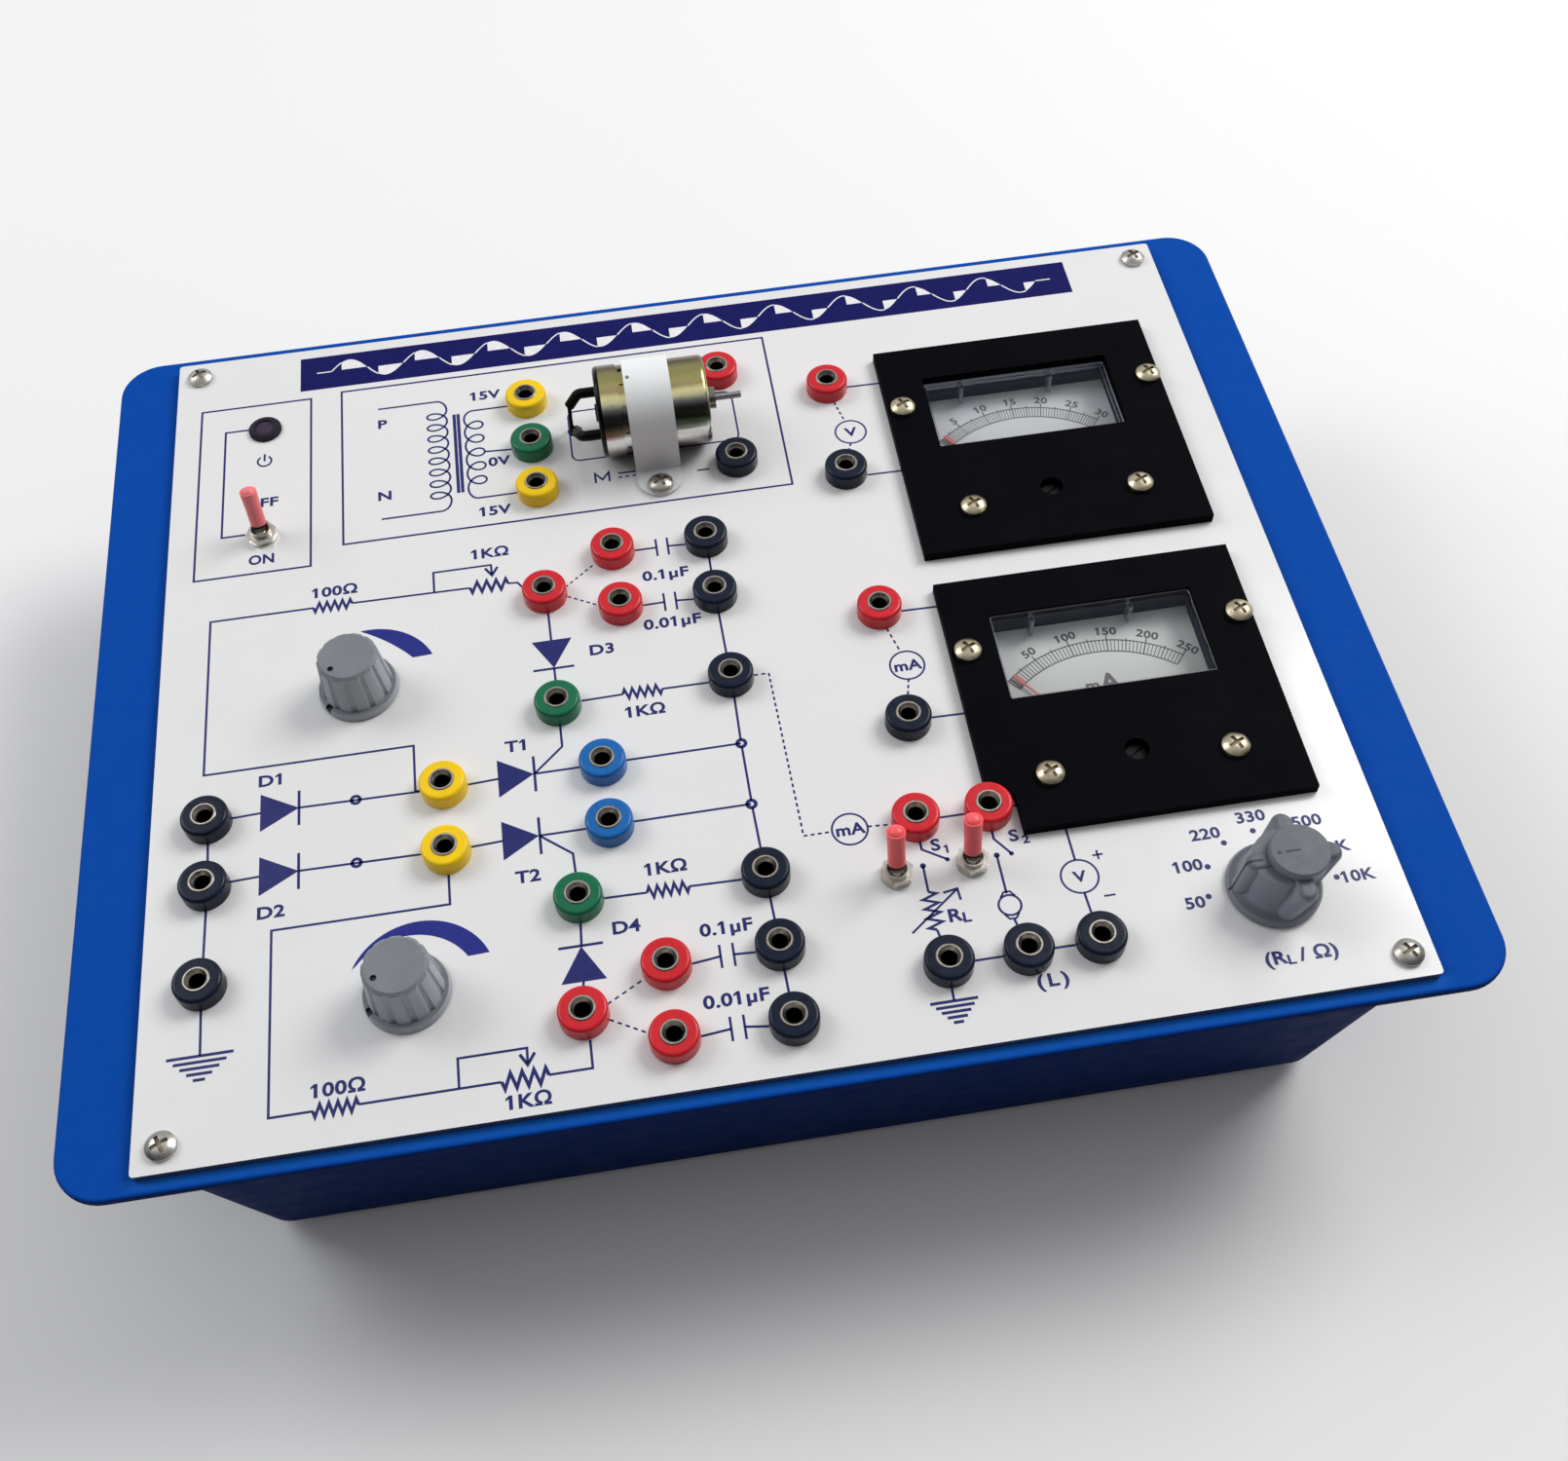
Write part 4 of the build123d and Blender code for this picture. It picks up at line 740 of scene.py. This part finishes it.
# transformer symbol: each winding is one looping line
def winding(pr, centre_x, reach, top, pitch, turns, swing, side, lead_top, lead_low):
    """side +1: loops on the left, plain arcs on the right; side -1 the other way round."""
    pts = [lead_top]
    for i in range(7):
        a = math.pi / 2 * i / 6
        pts.append((centre_x + side * reach * math.sin(a), top + (lead_top[1] - top) * math.cos(a)))
    for i in range(1, turns * 24):
        a = math.tau * i / 24
        pts.append((centre_x + side * reach * math.cos(a), top - pitch * a / math.tau - swing * math.sin(a)))
    low = top - pitch * turns
    for i in range(7):
        a = math.pi / 2 * i / 6
        pts.append((centre_x + side * reach * math.cos(a), low + (lead_low[1] - low) * math.sin(a)))
    pts.append(lead_low)
    return pts


# each stretch of the loop is a piece of its own, so that crossings stay clean
def looping(pr, pts, width):
    for i in range(0, len(pts) - 1, 6):
        pr.line(pts[i:i + 7], width)


p = Print(INK_LOW, INK_HIGH)
looping(p, winding(p, 77.65, 2.95, 226.67, 4.54, 8, 2.27, 1, (60.2, 230.6), (60.4, 186.4)), 0.58)
looping(p, winding(p, 88.35, 2.75, 221.6, 5.55, 5, 2.78, -1, (99.0, 224.9), (99.6, 189.6)), 0.58)
p.line([(91.1, 207.5), (99.0, 207.0)], LINE)
p.line([(82.75, 224.3), (82.75, 192.6)], 0.95)
p.line([(83.95, 224.3), (83.95, 192.6)], 0.95)
p.make("print_transformer", M["print"])

# motor symbol under the motor
p = Print(INK_LOW, INK_HIGH)
corner = []
for cx, cy, a0 in ((163.4, 216.8, 0), (118.6, 216.8, 90), (118.6, 201.2, 180), (163.4, 201.2, 270)):
    for s in range(5):
        t = math.radians(a0 + s * 22.5)
        corner.append((cx + 2.2 * math.cos(t), cy + 2.2 * math.sin(t)))
p.line(corner, 0.5, closed=True)
p.line([(151.8, 188.9), (155.4, 188.9)], 0.55)
p.make("print_motor_outline", M["print"])

# upper gate circuit
p = Print(INK_LOW, INK_HIGH)
p.line([(41.0, 157.1), (12.8, 157.1), (12.8, 106.3), (67.0, 106.3), (67.0, 92.2), (68.6, 91.9)], LINE)
p.zigzag((41.0, 157.1), (51.6, 157.0), 5, -1.5, 0.78)
p.line([(51.6, 157.0), (84.2, 156.6)], LINE)
p.line([(74.3, 156.7), (74.3, 163.9), (90.4, 163.9), (90.5, 160.4)], LINE)
p.line([(88.7, 162.9), (90.5, 160.1), (92.2, 162.9)], 0.75)
p.zigzag((84.2, 156.6), (94.8, 156.4), 4, -1.8, 0.85)
p.line([(94.8, 156.4), (97.4, 156.2), (99.2, 153.4)], LINE)
p.line([(105.0, 144.0), (105.1, 134.4)], LINE)
p.prism([(99.8, 134.5), (110.6, 134.5), (105.2, 125.1)])
p.line([(99.6, 124.9), (110.6, 124.9)], 0.7)
p.line([(105.2, 125.0), (105.3, 118.0)], LINE)
p.line([(105.3, 106.0), (105.3, 99.4), (97.7, 92.3)], LINE)
p.line([(111.5, 113.0), (122.5, 113.2)], LINE)
p.zigzag((122.5, 113.2), (133.0, 113.2), 5, 1.5, 0.75)
p.line([(133.0, 113.2), (145.4, 113.1)], LINE)
p.make("print_gate_upper", M["print"])

# lower gate circuit
p = Print(INK_LOW, INK_HIGH)
p.line([(74.4, 66.0), (74.4, 57.7), (30.9, 57.7), (30.9, 9.2), (41.0, 9.2)], LINE)
p.zigzag((41.0, 9.2), (51.4, 9.2), 5, -1.5, 0.78)
p.line([(51.4, 9.2), (84.1, 9.2)], LINE)
p.line([(74.4, 9.4), (74.4, 16.7), (90.5, 16.7), (90.4, 12.9)], LINE)
p.line([(88.7, 15.3), (90.4, 12.5), (92.2, 15.3)], 0.75)
p.zigzag((84.2, 9.2), (95.1, 9.2), 4, -1.9, 0.85)
p.line([(95.1, 9.2), (105.2, 9.2), (105.2, 16.3)], LINE)
p.prism([(99.7, 31.4), (110.6, 31.4), (105.2, 40.8)])
p.line([(99.7, 41.0), (110.5, 41.0)], 0.7)
p.line([(105.3, 41.0), (105.6, 47.0)], LINE)
p.line([(104.6, 28.4), (105.0, 31.5)], LINE)
p.line([(105.7, 59.2), (105.4, 66.9), (97.6, 73.4)], LINE)
p.line([(112.0, 53.0), (122.5, 52.8)], LINE)
p.zigzag((122.5, 52.8), (132.9, 52.8), 5, 1.5, 0.75)
p.line([(132.9, 52.8), (145.8, 52.5)], LINE)
p.make("print_gate_lower", M["print"])

# thyristors, rectifier diodes and the two main rows
p = Print(INK_LOW, INK_HIGH)
for y, gate in ((92.2, 1), (73.5, -1)):
    p.line([(20.4, y - 0.3), (27.6, y)], LINE)
    p.prism([(27.6, y + 5.6), (27.6, y - 5.6), (37.4, y)])
    p.line([(37.4, y + 5.2), (37.4, y - 5.2)], 0.7)
    p.line([(37.4, y), (68.6, y - 0.4)], LINE)
    p.ring((51.8, y - 0.1), 1.1, 0.85)
    p.line([(80.3, y - 0.4), (88.2, y)], LINE)
    p.prism([(88.2, y + 5.7), (88.2, y - 5.7), (97.4, y)])
    p.line([(97.6, y + 5.4), (97.6, y - 5.4)], 0.7)
    p.line([(97.6, y), (109.5, y)], LINE)
    p.line([(121.3, y + 0.1), (151.2, y + 0.2)], LINE)
    p.ring((151.3, y + 0.2), 1.1, 0.95)
# common line on the left, with its ground mark
p.line([(14.6, 85.2), (14.8, 77.9)], LINE)
p.line([(14.8, 66.0), (14.6, 50.9)], LINE)
p.line([(14.6, 39.0), (14.8, 27.3)], LINE)
for i, half in enumerate((7.8, 6.2, 4.6, 3.0, 1.4)):
    p.line([(14.8 - half, 27.3 - 1.5 * i), (14.8 + half, 27.3 - 1.5 * i)], 0.75)
# capacitor column down the middle
column = [(151.0, 141.8), (151.5, 113.1), (151.3, 92.4), (151.4, 73.7), (151.9, 52.4)]
p.line([(151.0, 155.7), (151.0, 147.8)], LINE)
p.line([(151.1, 135.8), (151.4, 119.1)], LINE)
p.line([(151.5, 107.1), (151.3, 93.5)], LINE)
p.line([(151.3, 91.3), (151.4, 74.8)], LINE)
p.line([(151.4, 72.6), (151.8, 58.4)], LINE)
p.line([(152.0, 46.4), (152.3, 38.3)], LINE)
p.line([(152.5, 26.3), (152.7, 18.8)], LINE)
p.make("print_main_rows", M["print"])

# capacitors and their dashed links
p = Print(INK_LOW, INK_HIGH)
for y, left, right in ((162.0, (124.7, 162.0), (151.0, 161.7)), (142.2, (125.0, 142.1), (151.0, 141.8)),
                       (32.6, (125.0, 31.8), (152.4, 32.3)), (13.6, (124.8, 12.9), (152.8, 12.8))):
    x = 136.9 if y > 100 else 138.0
    p.line([(left[0] + 6.1, left[1]), (x, y)], LINE)
    p.line([(x, y + 3.1), (x, y - 3.1)], 0.6)
    p.line([(x + 3.2, y + 3.1), (x + 3.2, y - 3.1)], 0.6)
    p.line([(x + 3.2, y), (right[0] - 6.1, right[1])], LINE)
p.dashes([(110.4, 152.2), (119.2, 159.2)], 0.45)
p.dashes([(110.8, 148.8), (119.0, 144.2)], 0.45)
p.dashes([(110.0, 24.6), (119.4, 29.8)], 0.45)
p.dashes([(110.2, 20.6), (119.0, 15.6)], 0.45)
p.dashes([(157.6, 113.4), (161.6, 113.4), (162.8, 62.2), (170.0, 62.2)], 0.5)
p.dashes([(179.0, 62.2), (184.9, 61.8)], 0.5)
p.ring((174.5, 62.2), 4.5, 0.5)
p.make("print_capacitors", M["print"])

# meter links
p = Print(INK_LOW, INK_HIGH)
p.line([(200.2, 214.3), (210.6, 214.1)], LINE)
p.line([(200.0, 178.4), (210.6, 178.2)], LINE)
p.line([(200.2, 127.8), (210.6, 127.6)], LINE)
p.line([(201.0, 91.9), (210.6, 91.7)], LINE)
p.ring((198.2, 196.0), 4.5, 0.5)
p.ring((198.3, 109.6), 4.6, 0.5)
p.dashes([(195.4, 208.6), (197.2, 200.6)], 0.5)
p.dashes([(197.4, 191.5), (195.4, 185.8)], 0.5)
p.dashes([(195.2, 122.6), (197.4, 114.2)], 0.5)
p.dashes([(197.8, 105.1), (196.0, 97.5)], 0.5)
# load side
p.line([(197.2, 61.7), (203.4, 61.7)], LINE)
p.line([(215.6, 62.0), (217.8, 62.0)], LINE)
p.line([(191.0, 55.6), (191.0, 53.4), (196.8, 49.6)], LINE)
p.line([(209.2, 55.6), (209.2, 53.4), (212.6, 48.6)], LINE)
p.disc((190.4, 48.8), 0.75)
p.disc((208.9, 48.7), 0.75)
p.disc((196.7, 49.6), 0.6)
p.disc((212.6, 48.6), 0.6)
p.line([(190.4, 48.8), (190.3, 41.4)], LINE)
p.zigzag((190.3, 41.4), (190.3, 31.0), 4, 1.8, 0.7)
p.line([(190.3, 31.0), (190.9, 27.4)], LINE)
p.line([(184.3, 31.0), (197.2, 41.0)], 0.55)
p.line([(193.8, 40.6), (197.4, 41.2), (197.6, 38.0)], 0.6)
p.line([(208.9, 48.7), (208.9, 37.9)], LINE)
p.ring((209.0, 34.6), 2.75, 0.55)
p.line([(207.2, 36.9), (208.2, 38.3), (209.8, 38.3), (210.8, 36.9)], 0.5)
p.line([(207.2, 32.3), (208.2, 30.9), (209.8, 30.9), (210.8, 32.3)], 0.5)
p.line([(209.2, 30.7), (209.8, 27.4)], LINE)
p.line([(227.4, 53.2), (227.5, 44.1)], LINE)
p.ring((227.5, 39.5), 4.6, 0.5)
p.line([(227.5, 34.9), (227.9, 27.6)], LINE)
p.line([(197.2, 21.4), (204.2, 21.4)], LINE)
p.line([(216.4, 21.5), (221.9, 21.5)], LINE)
p.line([(190.6, 15.2), (190.5, 12.0)], LINE)
for i, half in enumerate((5.7, 4.6, 3.5, 2.4, 1.2)):
    p.line([(190.5 - half, 12.0 - 1.35 * i), (190.5 + half, 12.0 - 1.35 * i)], 0.75)
p.line([(232.0, 44.7), (234.6, 44.7)], 0.5)
p.line([(233.3, 46.0), (233.3, 43.4)], 0.5)
p.line([(232.0, 33.2), (234.8, 33.2)], 0.5)
# selector positions
for deg in (180, 150, 120, 90, 60, 30, 0):
    p.disc((272.7 + 16.0 * math.cos(math.radians(deg)), 28.85 + 16.0 * math.sin(math.radians(deg))), 0.75)
p.make("print_load_side", M["print"])


# tapered sweeps beside the two potentiometer knobs
def crescent(pr, outer, inner):
    pr.prism(outer + list(reversed(inner)))


def circle_through(a, b, c):
    ax, ay, bx, by, cx, cy = *a, *b, *c
    d = 2 * (ax * (by - cy) + bx * (cy - ay) + cx * (ay - by))
    ux = ((ax * ax + ay * ay) * (by - cy) + (bx * bx + by * by) * (cy - ay) + (cx * cx + cy * cy) * (ay - by)) / d
    uy = ((ax * ax + ay * ay) * (cx - bx) + (bx * bx + by * by) * (ax - cx) + (cx * cx + cy * cy) * (bx - ax)) / d
    return (ux, uy), math.hypot(ax - ux, ay - uy)


def arc_points(c, r, start, end, n=28):
    a = math.atan2(start[1] - c[1], start[0] - c[0])
    b = math.atan2(end[1] - c[1], end[0] - c[0])
    return [(c[0] + r * math.cos(a + (b - a) * i / n), c[1] + r * math.sin(a + (b - a) * i / n)) for i in range(n + 1)]


p = Print(INK_LOW, INK_HIGH)
for outer_c, outer_r, thin, tip, mid in (
    ((56.23, 128.56), 18.17, (53.8, 146.5), (73.1, 135.5), (60.4, 142.2)),
    ((66.59, 36.2), 18.05, (50.5, 43.6), (83.5, 43.1), (63.0, 50.7)),
):
    start = thin
    blunt = (tip[0] - 5.4, tip[1] - 0.3)
    c_in, r_in = circle_through(start, mid, blunt)
    outer = arc_points(outer_c, outer_r, start, tip)
    inner = arc_points(c_in, r_in, start, blunt)[1:]
    crescent(p, outer, inner)
p.make("print_sweeps", M["sweep"])

# heading bar across the top, with a phase-controlled wave along it
p = Print(INK_LOW, INK_HIGH)
p.prism([(37.0, 242.4), (276.6, 242.4), (276.6, 256.4), (37.0, 256.4)])
p.make("print_heading_bar", M["banner"])
p = Print(INK_HIGH + 0.005, INK_HIGH + 0.035)
MID, SWING, HALF, START = 249.4, 4.3, 11.0, 46.4
for i in range(20):
    x, sign = START + HALF * i, (1 if i % 2 == 0 else -1)
    fire = 0.28 + 0.36 * i / 19
    # the part that conducts is filled, the part before it only outlined
    lead_in = [(x + HALF * t, MID + sign * SWING * math.sin(math.pi * t)) for t in [fire * k / 8 for k in range(9)]]
    p.line(lead_in, 0.45)
    body = [(x + HALF * t, MID + sign * SWING * math.sin(math.pi * t)) for t in [fire + (0.985 - fire) * k / 14 for k in range(15)]]
    p.prism([(x + HALF * fire, MID + sign * 0.2)] + body + [(x + HALF * 0.985, MID + sign * 0.2)])
p.line([(42.0, MID), (START, MID)], 0.45)
p.line([(START + 20 * HALF, MID), (271.0, MID)], 0.45)
p.make("print_heading_wave", M["white_ink"])

# lettering
p = Print(INK_LOW, INK_HIGH)
SMALL = 3.3
for words, place in (
    ("P", (61.3, 224.2)), ("N", (61.5, 195.3)), ("15V", (92.2, 230.8)), ("0V", (95.0, 203.1)), ("15V", (92.6, 184.1)),
    ("OFF", (25.8, 199.0)),
    ("100Ω", (46.8, 162.3)), ("1KΩ", (90.3, 168.5)), ("100Ω", (46.7, 14.1)), ("1KΩ", (90.0, 3.9)),
    ("D1", (30.3, 101.9)), ("D2", (30.6, 63.0)), ("T1", (93.7, 101.7)), ("T2", (93.9, 62.4)),
    ("1KΩ", (127.8, 107.2)), ("1KΩ", (127.7, 59.2)), ("0.1µF", (138.3, 152.2)), ("0.01µF", (138.3, 135.2)),
    ("0.1µF", (140.3, 40.2)), ("0.01µF", (140.2, 21.2)), ("D3", (118.4, 129.2)), ("D4", (116.4, 44.4)),
    ("(R", (267.3, 10.3)), ("/ Ω)", (278.0, 10.3)), ("(", (211.4, 13.6)), (")", (217.6, 13.6)),
):
    p.text(words, place, SMALL)
p.text("ON", (26.4, 177.5), SMALL, 0.97)
p.text("L", (271.0, 9.4), 2.4)
p.text("L", (214.5, 13.6), SMALL)
p.line([(122.3, 189.3), (122.3, 192.9), (124.3, 190.3), (126.3, 192.9), (126.3, 189.3)], 0.6)
p.line([(129.0, 191.9), (134.0, 191.9)], 0.55)
for x in (129.0, 131.0, 133.0):
    p.line([(x, 190.3), (x + 1.0, 190.3)], 0.55)
# power mark over the mains lamp
p.arc((26.6, 215.4), 2.0, 125.0, 415.0, 0.55, n=30)
p.line([(26.6, 218.2), (26.6, 215.4)], 0.6)
p.text("V", (198.2, 196.0), 3.2)
p.text("mA", (198.3, 109.6), 3.2, 1.1)
p.text("mA", (174.5, 62.2), 3.2, 1.1)
p.text("V", (227.5, 39.5), 2.9)
p.text("S", (194.6, 54.2), 3.2)
p.text("1", (197.2, 52.6), 2.2)
p.text("S", (214.2, 53.6), 3.2)
p.text("2", (217.0, 52.0), 2.2)
p.text("R", (195.2, 34.2), 3.4)
p.text("L", (198.0, 33.2), 2.6)
for words, place in (("50", (253.0, 27.8)), ("100", (254.0, 37.9)), ("220", (260.8, 46.0)), ("330", (273.2, 49.0)),
                     ("500", (286.5, 45.5)), ("1K", (291.6, 37.2)), ("10K", (293.7, 28.6))):
    p.text(words, place, 3.0, 1.15)
p.make("print_lettering", M["print"])

# ------------------------------------------------------------------ dials
ARC_X, ARC_Y, ARC_IN, ARC_OUT, NUMERAL_R = 249.47, 76.58, 32.8, 36.6, 39.6
ARC_FROM, ARC_TO, STEP = 132.1, 49.6, 90.7
for name, step, card, numerals, minor, unit in (
    ("milliammeter", 0.0, -6.0, [50, 100, 150, 200, 250], 10, "mA"),
    ("voltmeter", STEP, -7.8, [5, 10, 15, 20, 25, 30], 10, "V"),
):
    c = (ARC_X, ARC_Y + step)
    p = Print(card - 0.02, card + 0.04)
    p.arc(c, ARC_OUT, ARC_FROM + 0.2, ARC_TO - 0.2, 0.34)
    p.arc(c, ARC_IN, ARC_FROM + 0.2, ARC_TO - 0.2, 0.34)
    marks = minor * len(numerals)
    for i in range(marks + 1):
        a = math.radians(ARC_FROM + (ARC_TO - ARC_FROM) * i / marks)
        low, high, w = (ARC_IN, ARC_OUT, 0.22)
        if i % minor == 0:
            high, w = ARC_OUT + 1.6, 0.36
        elif i % (minor // 2) == 0:
            high, w = ARC_OUT + 0.8, 0.28
        p.line([(c[0] + low * math.cos(a), c[1] + low * math.sin(a)), (c[0] + high * math.cos(a), c[1] + high * math.sin(a))], w)
    for k, value in enumerate(numerals):
        deg = ARC_FROM + (ARC_TO - ARC_FROM) * (k + 1) / len(numerals)
        a = math.radians(deg)
        p.text(str(value), (c[0] + NUMERAL_R * math.cos(a), c[1] + NUMERAL_R * math.sin(a)), 2.4, 1.15, angle=deg - 90)
    if unit == "mA":
        p.text("m", (246.7, 98.8), 3.6, 1.0)
        p.text("A", (251.6, 99.2), 5.6, 1.0)
    else:
        p.text("V", (249.6, 96.4 + step), 5.0, 1.0)
    p.make(f"{name}_scale", M["scale" if unit == "mA" else "scale_v"])


# ----------------------------------------------------------- small turned pieces
def lathe(name, profile, place, axis_z, material, body, seg=48, smooth=40):
    """Turns a closed profile of (radius, height) in millimetres about an axis through place."""
    bm = bmesh.new()
    zc = Vector(axis_z).normalized()
    xc = zc.orthogonal().normalized()
    yc = zc.cross(xc)
    rings = []
    for r, h in profile:
        if r < 1e-6:
            rings.append([bm.verts.new(place + zc * h * MM)])
        else:
            rings.append([bm.verts.new(place + (xc * math.cos(t) + yc * math.sin(t)) * r * MM + zc * h * MM)
                          for t in [math.tau * i / seg for i in range(seg)]])
    k = len(rings)
    for i in range(k):
        a, b = rings[i], rings[(i + 1) % k]
        if len(a) == 1 and len(b) == 1:
            continue
        for s in range(seg):
            t = (s + 1) % seg
            if len(a) == 1:
                bm.faces.new((a[0], b[s], b[t]))
            elif len(b) == 1:
                bm.faces.new((a[s], b[0], a[t]))
            else:
                bm.faces.new((a[s], b[s], b[t], a[t]))
    bmesh.ops.recalc_face_normals(bm, faces=bm.faces)
    me = bpy.data.meshes.new(name)
    bm.to_mesh(me)
    bm.free()
    for poly in me.polygons:
        poly.use_smooth = True
    me.set_sharp_from_angle(angle=math.radians(smooth))
    ob = bpy.data.objects.new(name, me)
    bpy.context.scene.collection.objects.link(ob)
    me.materials.append(material)
    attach(ob, body)
    return ob


TILT = math.radians(12.0)
for place, body in (((26.7, 185.9), "main_toggle"), ((183.6, 47.3), "load_toggle_1"), ((202.5, 47.5), "load_toggle_2")):
    lathe(f"{body}_root_ring", [(1.40, 3.25), (2.0, 3.25), (2.2, 3.45), (2.2, 4.05), (1.40, 4.05)], at(*place, 1.0),
          (0, math.sin(TILT), math.cos(TILT)), M["lead"], body)

# painted shade: dark cross-shaped pieces laid in the cross recess of each screw head
def recesses(name, spots, radius, floor):
    pr = Print(floor - 0.02, floor + 0.22)
    ca, sa = math.cos(math.radians(25)), math.sin(math.radians(25))
    long_, half = radius * 0.56, radius * 0.13
    ring = [(long_, -half), (long_, half), (half, half), (half, long_), (-half, long_), (-half, half),
            (-long_, half), (-long_, -half), (-half, -half), (-half, -long_), (half, -long_), (half, -half)]
    for x, y in spots:
        pr.prism([(x + u * ca - v * sa, y + u * sa + v * ca) for u, v in ring])
    pr.make(name, M["recess"])


recesses("panel_screw_recess_shade", [(6.6, 253.5), (298.6, 253.5), (7.0, 6.2), (298.4, 6.2)], 3.6, 1.08)
PLATE_SCREWS = [(214.4, 109.0), (288.4, 109.4), (226.7, 67.7), (274.8, 67.9)]
recesses("meter_screw_recess_shade", [(x, y + step) for step in (0.0, STEP) for x, y in PLATE_SCREWS], 3.6, 4.08)
recesses("strap_screw_recess_shade", [(140.8, MOTOR_Y - 19.8), (140.8, MOTOR_Y + 19.8)], 3.6, 2.08)

# ---------------------------------------------------------------- the camera
cam_data = bpy.data.cameras.new("camera")
cam_data.sensor_width = 36.0
cam_data.lens = 1769.13 / 1610 * 36.0
cam = bpy.data.objects.new("camera", cam_data)
bpy.context.scene.collection.objects.link(cam)
right = Vector((0.9880, -0.1514, -0.0302))
down = Vector((-0.1421, -0.8154, -0.5612))
forward = right.cross(down).normalized()
right.normalize()
down = forward.cross(right).normalized()
spot = at(135.780, -155.752, 370.394)
cam.matrix_world = Matrix((
    (right.x, -down.x, -forward.x, spot.x),
    (right.y, -down.y, -forward.y, spot.y),
    (right.z, -down.z, -forward.z, spot.z),
    (0, 0, 0, 1)))
cam_data.clip_start, cam_data.clip_end = 0.01, 20.0
bpy.context.scene.camera = cam

# ------------------------------------------------------------ floor and light
floor_me = bpy.data.meshes.new("floor")
floor_me.from_pydata([(-4, -4, 0), (4, -4, 0), (4, 4, 0), (-4, 4, 0)], [], [(0, 1, 2, 3)])
floor = bpy.data.objects.new("floor", floor_me)
bpy.context.scene.collection.objects.link(floor)
fs = Shader("floor_paper", (0.84, 0.84, 0.84), 0.8, spec=0.1)
fs.tint(fs.span(fs.noise(3, 3), 0.35, 0.7, 0, 0.5), (0.825, 0.825, 0.825))
floor_me.materials.append(fs.done())
floor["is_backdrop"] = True

world = bpy.data.worlds.new("studio")
bpy.context.scene.world = world
world.use_nodes = True
wn, wl = world.node_tree.nodes, world.node_tree.links
bg = wn["Background"]
bg.inputs["Strength"].default_value = 1.0
wtc = wn.new("ShaderNodeTexCoord")
# a broad pale ceiling behind and above the object, a dark room in front of it
wdot = wn.new("ShaderNodeVectorMath")
wdot.operation = "DOT_PRODUCT"
wdot.inputs[1].default_value = (0.0, 0.5, 0.866)
wramp = wn.new("ShaderNodeValToRGB")
els = wramp.color_ramp.elements
els[0].position, els[0].color = 0.0, (0.035, 0.037, 0.042, 1.0)
els[1].position, els[1].color = 1.0, (0.64, 0.64, 0.65, 1.0)
for place, tone in ((0.12, (0.045, 0.047, 0.053)), (0.34, (0.20, 0.205, 0.215)), (0.55, (0.52, 0.52, 0.53))):
    els.new(place).color = (*tone, 1.0)
wl.new(wtc.outputs["Generated"], wdot.inputs[0])
wl.new(wdot.outputs["Value"], wramp.inputs["Fac"])
wl.new(wramp.outputs["Color"], bg.inputs["Color"])


def area(name, loc, target, size, power, colour=(1, 1, 1)):
    ld = bpy.data.lights.new(name, "AREA")
    ld.shape = "RECTANGLE"
    ld.size, ld.size_y = size
    ld.energy = power
    ld.color = colour
    ob = bpy.data.objects.new(name, ld)
    bpy.context.scene.collection.objects.link(ob)
    ob.location = loc
    ob.rotation_mode = "QUATERNION"
    ob.rotation_quaternion = (Vector(target) - Vector(loc)).to_track_quat("-Z", "Y")
    return ob


area("key", (1.05, 0.55, 1.15), (0, 0, 0.05), (0.8, 0.8), 17.0, (1.0, 0.99, 0.975))
area("fill", (-1.0, 0.55, 1.0), (0, 0, 0.05), (0.7, 0.7), 7.0, (0.97, 0.985, 1.0))

bpy.context.scene.view_settings.view_transform = "Standard"
bpy.context.scene.view_settings.look = "None"

low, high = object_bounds()
